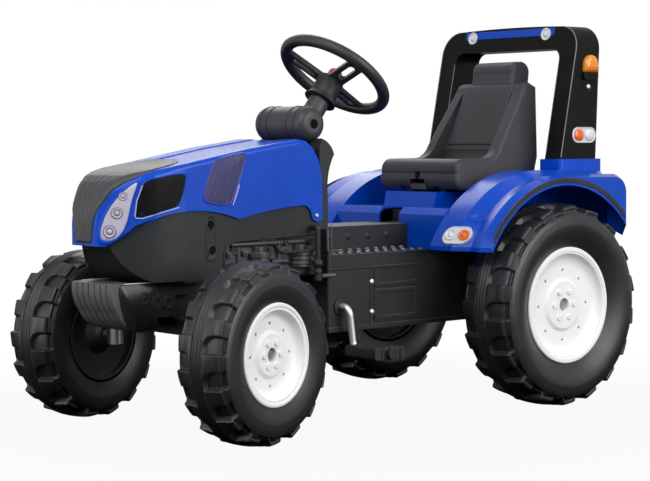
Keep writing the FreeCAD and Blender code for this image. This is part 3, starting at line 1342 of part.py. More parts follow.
def weights():
    """Stack of ribbed weights and the carrier that holds them."""
    start, moves = weight_profile(WEIGHT_GROOVE)
    core = side_prism(start, moves, -WEIGHT_HALF + 2.0, WEIGHT_HALF - 2.0)
    pitch = (2 * WEIGHT_HALF + WEIGHT_GAP) / WEIGHT_COUNT
    ribs = []
    start, moves = weight_profile(0.0)
    for index in range(WEIGHT_COUNT):
        x0 = -WEIGHT_HALF + index * pitch
        ribs.append(side_prism(start, moves, x0, x0 + pitch - WEIGHT_GAP))
    save("front_weights", core.multiFuse(ribs))
    wall = CARRIER_WALL
    top = ENGINE_BOTTOM - FRAME_WALL
    carrier = box(-CARRIER_HALF, CARRIER_HALF, CARRIER_FRONT, FRAME_FRONT, CARRIER_BOTTOM, top)
    carrier = carrier.cut(box(wall - CARRIER_HALF, CARRIER_HALF - wall, CARRIER_FRONT + wall,
                              FRAME_FRONT - wall, CARRIER_BOTTOM - 1, top - wall))
    ear = box(CARRIER_HALF - wall, CARRIER_HALF, FRAME_FRONT - 1, FRAME_FRONT + 45.0, 240.0, top)
    extras = both_sides(ear)
    for y, z in ((CARRIER_FRONT + 14.0, 238.0), (CARRIER_FRONT + 38.0, 230.0), (CARRIER_FRONT + 62.0, 228.0)):
        ring = bar_x(RING_RADIUS, CARRIER_HALF - 1, CARRIER_HALF + RING_PROUD, y, z)
        ring = ring.cut(bar_x(RING_RADIUS - 4.0, CARRIER_HALF, CARRIER_HALF + RING_PROUD + 1, y, z))
        extras += both_sides(ring)
    save("weight_carrier", carrier.multiFuse(extras))


# Rear body

def fender_side(inset, x, low, drop):
    """Fender's side outline at one x, as a wire for a loft, lower than the crown by a drop."""
    lead = 2.0 * drop + inset
    top = REAR_RADIUS + FENDER_RADIUS - inset - drop
    rear = SOCKET_REAR - 2.8 * drop - inset
    front = REAR_AXLE_Y - FENDER_RADIUS + 28.0 + lead
    mid_y = REAR_AXLE_Y - 0.66 * FENDER_RADIUS + 0.7 * lead
    mid_z = REAR_RADIUS + 0.745 * FENDER_RADIUS - 0.8 * inset - 0.75 * drop
    corner = 30.0

    def spot(y, z):
        return Vector(x, y, z)

    edges = [
        Part.LineSegment(spot(rear, low), spot(front, low)).toShape(),
        Part.LineSegment(spot(front, low), spot(front, FENDER_LOW + 8.0)).toShape(),
        Part.Arc(spot(front, FENDER_LOW + 8.0), spot(mid_y, mid_z), spot(REAR_AXLE_Y, top)).toShape(),
        Part.LineSegment(spot(REAR_AXLE_Y, top), spot(rear - corner, top - 2.0)).toShape(),
        Part.Arc(spot(rear - corner, top - 2.0), spot(rear - 0.3 * corner, top - 2.0 - 0.3 * corner),
                 spot(rear, top - 2.0 - corner)).toShape(),
        Part.LineSegment(spot(rear, top - 2.0 - corner), spot(rear, low)).toShape(),
    ]
    return Part.Wire(edges)


def fender_solid(inset, low):
    """Left fender as a solid: straight inner part, then a hollow, a crease and the outer edge."""
    x0 = FENDER_INNER + inset
    inner = Part.Face(fender_side(inset, x0, low, 0.0)).extrude(Vector(FENDER_CROWN - x0, 0, 0))
    wires = [fender_side(inset, FENDER_CROWN, low, 0.0),
             fender_side(inset, FENDER_DIP_X, low, FENDER_DIP),
             fender_side(inset, FENDER_CREASE_X, low, FENDER_CREASE),
             fender_side(inset, FENDER_OUTER - inset, low, FENDER_DROP)]
    return inner.fuse(Part.makeLoft(wires, True, True)).removeSplitter()


def rear_body():
    """Fenders and seat console in one moulding, with roll bar sockets, and the arch stripes."""
    wall = FENDER_WALL
    low = STEP_Z
    fender = fender_solid(0.0, FENDER_LOW).cut(fender_solid(wall, FENDER_LOW - 40.0))
    arch = bar_x(ARCH_RADIUS, FENDER_CROWN, FENDER_OUTER + 1, REAR_AXLE_Y, REAR_RADIUS)
    fender = fender.cut(arch)
    front = TUNNEL_REAR + SEAT_FIT

    def console(inset, bottom):
        shelf = side_prism((front + inset, bottom), [
            line(front + inset, SHELF_Z - 12.0),
            line(front + 12.0 + inset, SHELF_Z - inset),
            line(SOCKET_REAR - inset, SHELF_Z - inset),
            line(SOCKET_REAR - inset, bottom),
        ], inset - FENDER_INNER, FENDER_INNER - inset)
        seat_base = side_prism((front + 50.0 + inset, SHELF_Z - 2 * wall), [
            line(front + 58.0 + inset, CONSOLE_TOP - inset),
            line(SOCKET_REAR - 60.0 - inset, CONSOLE_TOP - inset),
            line(SOCKET_REAR - 60.0 - inset, SHELF_Z - 2 * wall),
        ], inset - CONSOLE_HALF, CONSOLE_HALF - inset)
        return shelf.fuse(seat_base).removeSplitter()

    middle = console(0.0, low).cut(console(wall, low - 20.0))
    top = REAR_RADIUS + FENDER_RADIUS
    socket = box(BAR_INNER - 6.0, BAR_OUTER + 10.0, SOCKET_FRONT, SOCKET_REAR, top - 2 * wall, SOCKET_TOP)
    socket = rounded(socket, 8.0, lambda edge: runs_along(edge, Z_AXIS))
    under = box(BAR_INNER - 6.0 + wall, BAR_OUTER + 10.0 - wall, SOCKET_FRONT + wall, SOCKET_REAR - wall,
                top - 2 * wall - 1, SOCKET_TOP - wall)
    peg_x0 = BAR_INNER + BAR_WALL + SEAT_FIT
    peg_x1 = BAR_OUTER - BAR_WALL - SEAT_FIT
    peg = box(peg_x0, peg_x1, bar_front(SOCKET_TOP) + 20.0, bar_rear(SOCKET_TOP) - 12.0,
              SOCKET_TOP - wall, SOCKET_TOP + PEG_HEIGHT)
    pieces = [middle]
    for piece in (fender, socket.cut(under).fuse(peg)):
        pieces += both_sides(piece)
    body = pieces[0].multiFuse(pieces[1:])
    slot_y = SEAT_FRONT + 20.0
    slot = box(-LATCH_TONGUE_HALF - 1.0, LATCH_TONGUE_HALF + 1.0, slot_y - SEAT_TRAVEL - 6.0,
               slot_y + SEAT_TRAVEL + 12.0, CONSOLE_TOP - wall - 1, CONSOLE_TOP + 1)
    spine = box(-SPINE_HALF - SEAT_FIT, SPINE_HALF + SEAT_FIT, 0, SPINE_REAR + SEAT_FIT, low - 1, SHELF_Z + 1)
    save("rear_body", body.cut(slot).cut(spine).removeSplitter())
    outside = fender_solid(-STRIPE_PROUD - SEAT_FIT, FENDER_LOW).cut(fender_solid(-SEAT_FIT, FENDER_LOW))
    lamp_low = FENDER_LOW + 15.0
    lamp = front_prism((195.0, lamp_low), [
        line(238.0, lamp_low),
        arc(251.0, lamp_low + 13.0, 238.0, lamp_low + 26.0),
        line(195.0, lamp_low + 26.0),
        arc(182.0, lamp_low + 13.0, 195.0, lamp_low),
    ], FENDER_LOW - 200.0, REAR_AXLE_Y - ARCH_RADIUS / 2)
    save("fender_lamps", Part.makeCompound(both_sides(outside.common(lamp))))
    x0 = FENDER_OUTER
    ring_low = ARCH_RADIUS + 5.0
    band = bar_x(ring_low + STRIPE_WIDTH, x0, x0 + STRIPE_PROUD, REAR_AXLE_Y, REAR_RADIUS)
    band = band.cut(bar_x(ring_low, x0 - 1, x0 + STRIPE_PROUD + 1, REAR_AXLE_Y, REAR_RADIUS))
    band = band.common(box(0, 400, REAR_AXLE_Y - 193.0, 502.0, FENDER_LOW + 6.0, 600))
    save("fender_stripes", Part.makeCompound(both_sides(band)))


# Roll bar

def bar_front(z):
    """Front face of the roll bar at a height."""
    return BAR_FOOT_FRONT + (z - SOCKET_TOP) * BAR_LEAN_FRONT / (BAR_TOP - SOCKET_TOP)


def bar_rear(z):
    """Rear face of the roll bar at a height."""
    return BAR_FOOT_REAR + (z - SOCKET_TOP) * BAR_LEAN_REAR / (BAR_TOP - SOCKET_TOP)


def bar_slab(inset, low):
    """Roll bar's side shape, shrunk by an inset, right across the tractor."""
    high = BAR_TOP + 20.0
    return side_prism((bar_front(low) + inset, low), [
        line(bar_front(high) + inset, high),
        line(bar_rear(high) - inset, high),
        line(bar_rear(low) - inset, low),
    ], -300.0, 300.0)


def bar_arch(inset, low):
    """Roll bar's front shape, shrunk by an inset."""
    outer = BAR_OUTER - inset
    inner = BAR_INNER + inset
    top = BAR_TOP - inset
    under = BAR_TOP - BAR_BEAM + inset
    big = 46.0
    small = 22.0
    cut_big = big * (1 - math.sqrt(0.5))
    cut_small = small * (1 - math.sqrt(0.5))
    return front_prism((-outer, low), [
        line(-outer, top - big),
        arc(cut_big - outer, top - cut_big, big - outer, top),
        arc(0, top + 3.0, outer - big, top),
        arc(outer - cut_big, top - cut_big, outer, top - big),
        line(outer, low),
        line(inner, low),
        line(inner, under - small),
        arc(inner - cut_small, under - cut_small, inner - small, under),
        line(small - inner, under),
        arc(cut_small - inner, under - cut_small, -inner, under - small),
        line(-inner, low),
    ], 300.0, 700.0)


def roll_bar():
    """Hollow roll bar with its roof strip and its lamp plates."""
    solid = bar_arch(0.0, SOCKET_TOP).common(bar_slab(0.0, SOCKET_TOP))
    hollow = bar_arch(BAR_WALL, SOCKET_TOP - 10.0).common(bar_slab(BAR_WALL, SOCKET_TOP - 10.0))
    save("roll_bar", solid.cut(hollow))
    tilt = -math.degrees(math.atan2(BAR_LEAN_FRONT, BAR_TOP - SOCKET_TOP))
    strip_z = BAR_TOP - ROOF_STRIP_WIDTH / 2 - 2.0

    def on_front(shape):
        leaned = spun(shape, Vector(0, 0, 0), X_AXIS, tilt)
        return moved(leaned, 0, bar_front(strip_z), strip_z)

    strip = box(-ROOF_STRIP_HALF, ROOF_STRIP_HALF, -STRIPE_PROUD, 0, -ROOF_STRIP_WIDTH / 2, ROOF_STRIP_WIDTH / 2)
    lamps = []
    for side in (1, -1):
        middle = side * ROOF_LAMP_X
        strip = strip.cut(bar_y(ROOF_LAMP_RADIUS + SEAT_FIT, -9, 9, middle, -ROOF_STRIP_WIDTH / 3))
        lamp = bar_y(ROOF_LAMP_RADIUS, -2 * STRIPE_PROUD, 0, middle, -ROOF_STRIP_WIDTH / 3)
        lamps.append(on_front(lamp))
    save("roof_strip", on_front(strip))
    x0 = BAR_OUTER
    beacon_y = bar_rear(BAR_TOP - 74.0) - 25.0
    beacon = box(x0, x0 + STRIPE_PROUD, beacon_y - 22.0, beacon_y + 22.0, BAR_TOP - 88.0, BAR_TOP - 59.0)
    beacon = rounded(beacon, 8.0, lambda edge: runs_along(edge, X_AXIS))
    lamp_y = bar_rear(SOCKET_TOP + 47.0) - 37.0
    side_lamp = box(x0, x0 + STRIPE_PROUD, lamp_y - 34.0, lamp_y + 34.0, SOCKET_TOP + 31.0, SOCKET_TOP + 62.0)
    side_lamp = rounded(side_lamp, 12.0, lambda edge: runs_along(edge, X_AXIS))
    lamps += both_sides(beacon) + both_sides(side_lamp)
    save("bar_lamps", Part.makeCompound(lamps))


# Seat

def seat():
    """Seat shell on its rails, and the latch under its front edge."""
    half = SEAT_HALF
    front = SEAT_FRONT
    low = SEAT_BOTTOM
    back = front + 236.0
    outer = side_prism((front + 8.0, low), [
        arc(front + 1.0, low + 8.0, front, low + 30.0),
        arc(front + 3.0, low + 50.0, front + 20.0, low + 58.0),
        line(front + 84.0, low + 58.0),
        arc(front + 106.0, low + 64.0, front + 123.0, low + 84.0),
        line(front + 196.0, low + 192.0),
        arc(front + 205.0, low + 204.0, front + 218.0, low + 207.0),
        line(back + 2.0, low + 198.0),
        line(back - 6.0, low + 60.0),
        line(back - 28.0, low),
    ], -half, half)
    lean = half - SEAT_TOP_HALF
    taper = front_prism((-half, low), [
        line(-SEAT_TOP_HALF, low + 210.0),
        line(SEAT_TOP_HALF, low + 210.0),
        line(half, low),
    ], front - 50.0, back + 50.0)
    outer = outer.common(taper)
    outer = rounded(outer, SEAT_ROUND, lambda edge: abs(edge.CenterOfMass.x) > SEAT_TOP_HALF - 1
                    and edge.BoundBox.XLength < lean and edge.CenterOfMass.z > low + 1)
    bowl = side_prism((front + 34.0, low + 80.0), [
        line(front + 34.0, low + 48.0),
        arc(front + 50.0, low + 38.0, front + 80.0, low + 36.0),
        line(front + 132.0, low + 36.0),
        arc(front + 145.0, low + 48.0, front + 150.0, low + 76.0),
        line(front + 193.0, low + 172.0),
        line(front + 190.0, low + 240.0),
        line(front + 34.0, low + 240.0),
    ], -SEAT_BOWL_HALF, SEAT_BOWL_HALF)
    bowl = bowl.common(front_prism((-SEAT_BOWL_HALF, low), [
        line(lean - SEAT_BOWL_HALF, low + 250.0),
        line(SEAT_BOWL_HALF - lean, low + 250.0),
        line(SEAT_BOWL_HALF, low),
    ], front - 50.0, back + 50.0))
    rest = side_prism((front + 196.0, low + 170.0), [
        line(front + 206.0, low + 226.0),
        arc(front + 212.0, low + 244.0, front + 230.0, low + 248.0),
        arc(front + 252.0, low + 243.0, front + 258.0, low + 226.0),
        line(front + 254.0, low + 196.0),
        line(back + 2.0, low + 180.0),
    ], -HEADREST_HALF, HEADREST_HALF)
    rest = rounded(rest, 9.0, lambda edge: abs(edge.CenterOfMass.x) > HEADREST_HALF - 1)
    shell = outer.cut(bowl).fuse(rest)
    wall = SEAT_WALL
    under = box(wall + 4.0 - half, half - wall - 4.0, front + 30.0, front + 186.0, low - 1, low + 24.0)
    behind = side_prism((front + 166.0, low - 1), [
        line(front + 164.0, low + 24.0),
        line(front + 200.0, low + 150.0),
        line(back + 20.0, low + 150.0),
        line(back + 20.0, low - 1),
    ], wall - SEAT_TOP_HALF, SEAT_TOP_HALF - wall)
    latch_rear = front + 27.0
    notch = box(-LATCH_HALF - SEAT_FIT, LATCH_HALF + SEAT_FIT, front - 5.0, latch_rear + SEAT_FIT,
                low - 1, low + 11.0 + LATCH_LIFT + SEAT_FIT)
    slot = box(-7.0, 7.0, front - 5.0, front + 12.0, low, low + 34.0)
    rails = []
    reach = SEAT_TRAVEL + 4.0
    for side in (1, -1):
        x0 = side * RAIL_X - RAIL_HALF
        rails.append(box(x0, x0 + 2 * RAIL_HALF, front + 24.0, front + 194.0,
                         CONSOLE_TOP, CONSOLE_TOP + RAIL_HEIGHT))
    ribs = []
    grooves = []
    rail_top = CONSOLE_TOP + RAIL_HEIGHT
    for side in (1, -1):
        x0 = side * RAIL_X - RAIL_HALF - 4.0
        rib = box(x0, x0 + 2 * RAIL_HALF + 8.0, front + 30.0, front + 184.0, low, low + 30.0)
        groove = box(x0 + 4.0 - SEAT_FIT, x0 + 4.0 + 2 * RAIL_HALF + SEAT_FIT, front - reach, back + reach,
                     low - 1, rail_top + SEAT_FIT)
        ribs.append(rib)
        grooves.append(groove)
    shell = shell.cut(under).cut(behind).cut(notch).cut(slot)
    shell = shell.multiFuse(ribs).cut(Part.makeCompound(grooves))
    save("seat_shell", shell.removeSplitter())
    save("seat_rails", Part.makeCompound(rails))
    tongue_y = front + 20.0
    lever = box(-LATCH_HALF, LATCH_HALF, front + 2.0, latch_rear, low + SEAT_FIT - 3.0, low + 11.0)
    lever = rounded(lever, 4.0, lambda edge: runs_along(edge, X_AXIS))
    tongue = box(-LATCH_TONGUE_HALF, LATCH_TONGUE_HALF, tongue_y - 4.0, tongue_y + 5.0,
                 CONSOLE_TOP - FENDER_WALL, low + 2.0)
    save("seat_latch", lever.fuse(tongue).removeSplitter())


def save(name, shape):
    """Write one piece to its file."""
    shape.exportStep("parts/" + name + ".step")


def main():
    """Build every piece of the tractor."""
    os.makedirs("parts", exist_ok=True)
    rear_wheels()
    front_wheels()
    knuckles()
    tie_rod()
    front_frame()
    steering()
    chassis()
    drive()
    crank()
    bonnet_and_trim()
    engine()
    dash()
    weights()
    rear_body()
    roll_bar()
    seat()


main()
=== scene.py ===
"""Looks of a ride-on pedal tractor: materials, moulded detail, studio light and camera."""
import logging
import math
from dataclasses import dataclass, field
from enum import Enum
from typing import Callable, Dict, List, Optional, Sequence, Tuple, Union

import bmesh
import bpy
import numpy as np
from mathutils import Matrix, Vector
from mathutils.bvhtree import BVHTree


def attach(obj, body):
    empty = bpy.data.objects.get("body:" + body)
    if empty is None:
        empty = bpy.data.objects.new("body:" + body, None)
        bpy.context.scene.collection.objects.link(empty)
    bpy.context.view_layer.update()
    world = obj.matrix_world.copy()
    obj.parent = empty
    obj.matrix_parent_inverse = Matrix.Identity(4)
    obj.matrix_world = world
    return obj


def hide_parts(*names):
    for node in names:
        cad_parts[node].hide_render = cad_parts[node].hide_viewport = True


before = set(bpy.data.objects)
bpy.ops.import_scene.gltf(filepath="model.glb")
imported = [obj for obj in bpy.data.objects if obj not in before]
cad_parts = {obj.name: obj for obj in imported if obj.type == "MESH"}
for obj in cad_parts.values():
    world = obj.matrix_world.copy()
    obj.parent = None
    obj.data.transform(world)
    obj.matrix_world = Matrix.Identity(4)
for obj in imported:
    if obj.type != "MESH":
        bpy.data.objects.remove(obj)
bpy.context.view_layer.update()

LOG = logging.getLogger("pedal_tractor")
Colour = Tuple[float, float, float]
Point = Tuple[float, float, float]
Pairs = Tuple[Tuple[float, float], ...]
Triples = Tuple[Point, ...]
Looks = Dict[str, bpy.types.Material]
Value = Union["Sock", float, int, Tuple[float, ...]]
Placer = Callable[[np.ndarray, float], np.ndarray]
TINY = 1e-12
WELD = 1e-6


def shade(red: float, green: float, blue: float) -> Colour:
    """Linear colour of an 8-bit screen colour.

    Args:
        red: Red, 0 to 255.
        green: Green, 0 to 255.
        blue: Blue, 0 to 255.

    Returns:
        The three linear values.
    """
    parts = []
    for part in (red, green, blue):
        level = part / 255.0
        parts.append(level / 12.92 if level <= 0.04045 else ((level + 0.055) / 1.055) ** 2.4)
    return (parts[0], parts[1], parts[2])


class Sock:
    """A shader output that takes part in Python sums."""

    def __init__(self, recipe: "Recipe", out: bpy.types.NodeSocket) -> None:
        """Keeps the socket and the recipe that it belongs to."""
        self.recipe = recipe
        self.out = out

    def _math(self, operation: str, first: Value, second: Value = 0.0) -> "Sock":
        """Adds one Math node.

        Args:
            operation: Blender's name of the sum.
            first: First value or link.
            second: Second value or link.

        Returns:
            The result.
        """
        return self.recipe.node("ShaderNodeMath", {"operation": operation}, {0: first, 1: second})

    def __add__(self, other: Value) -> "Sock":
        """Sum of two values."""
        return self._math("ADD", self, other)

    def __radd__(self, other: Value) -> "Sock":
        """Sum with a number first."""
        return self._math("ADD", other, self)

    def __sub__(self, other: Value) -> "Sock":
        """Difference of two values."""
        return self._math("SUBTRACT", self, other)

    def __rsub__(self, other: Value) -> "Sock":
        """Difference from a number."""
        return self._math("SUBTRACT", other, self)

    def __mul__(self, other: Value) -> "Sock":
        """Product of two values."""
        return self._math("MULTIPLY", self, other)

    def __rmul__(self, other: Value) -> "Sock":
        """Product with a number first."""
        return self._math("MULTIPLY", other, self)

    def root(self) -> "Sock":
        """Square root."""
        return self._math("SQRT", self)

    def ramp(self, low: float, high: float) -> "Sock":
        """Smooth step from 0 at low to 1 at high.

        Args:
            low: Value that gives 0.
            high: Value that gives 1.

        Returns:
            The eased value.
        """
        return self.recipe.node(
            "ShaderNodeMapRange",
            {"interpolation_type": "SMOOTHSTEP"},
            {"Value": self, "From Min": low, "From Max": high, "To Min": 0.0, "To Max": 1.0},
        )


class Recipe:
    """One material and the nodes that make it."""

    def __init__(self, name: str) -> None:
        """Starts a material with an empty node tree."""
        self.material = bpy.data.materials.new(name)
        self.material.use_nodes = True
        self.tree = self.material.node_tree
        self.tree.nodes.clear()

    def node(
        self,
        kind: str,
        settings: Optional[Dict[str, object]] = None,
        values: Optional[Dict[Union[str, int], Value]] = None,
        out: Union[str, int] = 0,
    ) -> Sock:
        """Adds one node.

        Args:
            kind: Blender's type of the node.
            settings: What is set on the node first.
            values: A value or a link for each named or numbered socket.
            out: Name or number of the output that is wanted.

        Returns:
            That output.
        """
        made = self.tree.nodes.new(kind)
        for key, setting in (settings or {}).items():
            setattr(made, key, setting)
        for key, value in (values or {}).items():
            socket = made.inputs[key]
            if isinstance(value, Sock):
                self.tree.links.new(value.out, socket)
            elif isinstance(value, tuple) and socket.type == "RGBA" and len(value) == 3:
                socket.default_value = (*value, 1.0)
            else:
                socket.default_value = value
        return Sock(self, made.outputs[out])

    def place(self) -> Sock:
        """Point in the piece's own frame, in metres."""
        return self.node("ShaderNodeTexCoord", out="Object")

    def axes(self) -> Tuple[Sock, Sock, Sock]:
        """The x, y and z of the place on the surface.

        Returns:
            The three parts.
        """
        split = self.node("ShaderNodeSeparateXYZ", None, {0: self.place()})
        outs = split.out.node.outputs
        return Sock(self, outs[0]), Sock(self, outs[1]), Sock(self, outs[2])

    def noise(self, scale: float, detail: float = 3.0, rough: float = 0.55,
              stretch: Point = (1.0, 1.0, 1.0)) -> Sock:
        """Soft random value over the surface.

        Args:
            scale: Waves in a metre.
            detail: Number of finer layers.
            rough: Strength of the finer layers.
            stretch: Scale along each axis.

        Returns:
            The value, about 0.5 on average.
        """
        point = self.place()
        if stretch != (1.0, 1.0, 1.0):
            point = self.node("ShaderNodeVectorMath", {"operation": "MULTIPLY"}, {0: point, 1: stretch})
        return self.node("ShaderNodeTexNoise", None,
                         {"Vector": point, "Scale": scale, "Detail": detail, "Roughness": rough})

    def cells(self, scale: float, smooth: float = 0.6) -> Sock:
        """Distance inside a field of soft random cells.

        Args:
            scale: Cells in a metre.
            smooth: Softness between the cells.

        Returns:
            The distance.
        """
        return self.node("ShaderNodeTexVoronoi", {"feature": "SMOOTH_F1"},
                         {"Vector": self.place(), "Scale": scale, "Smoothness": smooth})

    def mix(self, factor: Value, first: Value, second: Value) -> Sock:
        """Blend of two colours.

        Args:
            factor: 0 for the first, 1 for the second.
            first: Colour or link.
            second: Colour or link.

        Returns:
            The colour.
        """
        return self.node("ShaderNodeMix", {"data_type": "RGBA"}, {0: factor, 6: first, 7: second}, 2)

    def bump(self, height: Value, depth: float, under: Sock) -> Sock:
        """Normal of a relief.

        Args:
            height: Relief from 0 to 1.
            depth: Height of 1 in metres.
            under: Normal that it lies on.

        Returns:
            The normal.
        """
        return self.node("ShaderNodeBump", None,
                         {"Height": height, "Distance": depth, "Strength": 1.0, "Normal": under})

    def edge_round(self, radius: float) -> Sock:
        """Normal that rounds sharp edges.

        Args:
            radius: Radius of the round in metres.

        Returns:
            The normal.
        """
        return self.node("ShaderNodeBevel", {"samples": 6}, {"Radius": radius})

    def surface(self, values: Dict[Union[str, int], Value]) -> bpy.types.Material:
        """Closes the material with a plain shader.

        Args:
            values: Sockets of the shader.

        Returns:
            The finished material.
        """
        shader = self.node("ShaderNodeBsdfPrincipled", None, values)
        self.node_output(shader)
        return self.material

    def node_output(self, shader: Sock) -> None:
        """Links a shader to the material's output."""
        end = self.tree.nodes.new("ShaderNodeOutputMaterial")
        self.tree.links.new(shader.out, end.inputs["Surface"])


@dataclass(frozen=True)
class Moulded:
    """Moulded plastic with its own gloss, grain, flow marks and paler edges, which stand for edge wear and,
    on some finishes, are a painted highlight.
    """

    name: str
    colour: Colour
    rough: float = 0.42
    grain: float = 0.00006
    grain_scale: float = 1400.0
    ripple: float = 0.0
    ripple_scale: float = 18.0
    coat: float = 0.0
    edge: float = 0.0012
    wear_and_highlight: float = 0.25
    wear_and_highlight_colour: Colour = (0.5, 0.5, 0.5)
    blotch: float = 0.12
    scuff: float = 0.05
    spec: float = 0.5
    flow_scale: float = 9.0
    wear_and_highlight_reach: float = 1.6
    wear_and_highlight_scale: float = 160.0
    pit_share: float = 0.7
    dust_share: float = 0.6
    dust_scale: float = 0.8
    mark_scale: float = 34.0
    scratch_scale: float = 420.0
    scratch_run: Point = (1.0, 0.08, 1.0)
    scratch_share: float = 0.6
    coat_rough: float = 0.08

    def base(self, recipe: Recipe) -> Sock:
        """Colour with soft blotches and paler edges, part edge wear and part painted edge highlight.

        Args:
            recipe: Material in the making.

        Returns:
            The colour.
        """
        dark = tuple(part * (1.0 - self.blotch) for part in self.colour)
        light = tuple(min(1.0, part * (1.0 + self.blotch)) for part in self.colour)
        flow = recipe.noise(self.flow_scale, 4.0, 0.6).ramp(0.3, 0.7)
        body = recipe.mix(flow, dark, light)
        # Paler colour on the edges: edge wear, and where its share is large a painted highlight.
        return recipe.mix(self.worn_and_highlit(recipe) * self.wear_and_highlight, body, self.wear_and_highlight_colour)

    def worn_and_highlit(self, recipe: Recipe) -> Sock:
        """Mask of the edges, broken up by noise, that places the paler edges: part edge wear, part painted
        highlight.

        Args:
            recipe: Material in the making.

        Returns:
            0 on a flat face, up to 1 on an edge.
        """
        soft = recipe.edge_round(self.edge * self.wear_and_highlight_reach)
        true = recipe.node("ShaderNodeNewGeometry", out="Normal")
        facing = recipe.node("ShaderNodeVectorMath", {"operation": "DOT_PRODUCT"},
                             {0: soft, 1: true}, "Value")
        broken_up = recipe.noise(self.wear_and_highlight_scale, 4.0, 0.7).ramp(0.38, 0.66)
        return (1.0 - facing).ramp(0.02, 0.22) * broken_up

    def relief(self, recipe: Recipe) -> Sock:
        """Normal of the rounded edges with ripple and grain on top.

        Args:
            recipe: Material in the making.

        Returns:
            The normal.
        """
        normal = recipe.edge_round(self.edge)
        if self.ripple:
            normal = recipe.bump(recipe.noise(self.ripple_scale, 1.0), self.ripple, normal)
        if self.grain:
            pits = recipe.cells(self.grain_scale) * self.pit_share
            dust = recipe.noise(self.grain_scale * self.dust_scale, 2.0) * self.dust_share
            normal = recipe.bump(pits + dust, self.grain, normal)
        return normal

    def gloss(self, recipe: Recipe) -> Sock:
        """Roughness with handling marks.

        Args:
            recipe: Material in the making.

        Returns:
            The roughness.
        """
        marks = recipe.noise(self.mark_scale, 5.0, 0.65).ramp(0.35, 0.75)
        fine = recipe.noise(self.scratch_scale, 2.0, 0.6, self.scratch_run).ramp(0.5, 0.75)
        return self.rough + marks * self.scuff + fine * (self.scuff * self.scratch_share)

    def make(self) -> bpy.types.Material:
        """The finished material."""
        recipe = Recipe(self.name)
        return recipe.surface({
            "Base Color": self.base(recipe),
            "Roughness": self.gloss(recipe),
            "Normal": self.relief(recipe),
            "Coat Weight": self.coat,
            "Coat Roughness": self.coat_rough,
            "Specular IOR Level": self.spec,
        })


@dataclass(frozen=True)
class Metal:
    """Bare or plated metal with drawing lines."""

    name: str
    colour: Colour
    rough: float = 0.22
    lines: Point = (1.0, 1.0, 1.0)
    depth: float = 0.00003
    stain: Colour = (0.25, 0.23, 0.2)
    stains: float = 0.12
    line_scale: float = 700.0
    line_rough: float = 0.12
    spot_scale: float = 60.0
    spot_rough: float = 0.15
    edge: float = 0.0006

    def make(self) -> bpy.types.Material:
        """The finished material."""
        recipe = Recipe(self.name)
        drawn = recipe.noise(self.line_scale, 3.0, 0.6, self.lines)
        spots = recipe.noise(self.spot_scale, 5.0, 0.7).ramp(0.52, 0.8)
        return recipe.surface({
            "Base Color": recipe.mix(spots * self.stains, self.colour, self.stain),
            "Metallic": 1.0,
            "Roughness": self.rough + drawn * self.line_rough + spots * self.spot_rough,
            "Normal": recipe.bump(drawn, self.depth, recipe.edge_round(self.edge)),
        })


class Side(Enum):
    """Side of the tractor, as the sign of x."""

    LEFT = 1
    RIGHT = -1

    @property
    def out(self) -> Point:
        """Direction away from the tractor's middle."""
        return (float(self.value), 0.0, 0.0)


def spokes(level: Vector, up: Vector, around: int) -> np.ndarray:
    """Unit vectors all the way round two square directions.

    Args:
        level: First direction.
        up: Second direction.
        around: Number of vectors.

    Returns:
        One vector in each row.
    """
    turn = np.linspace(0.0, 2 * math.pi, around, endpoint=False)
    return np.outer(np.cos(turn), np.array(level)) + np.outer(np.sin(turn), np.array(up))


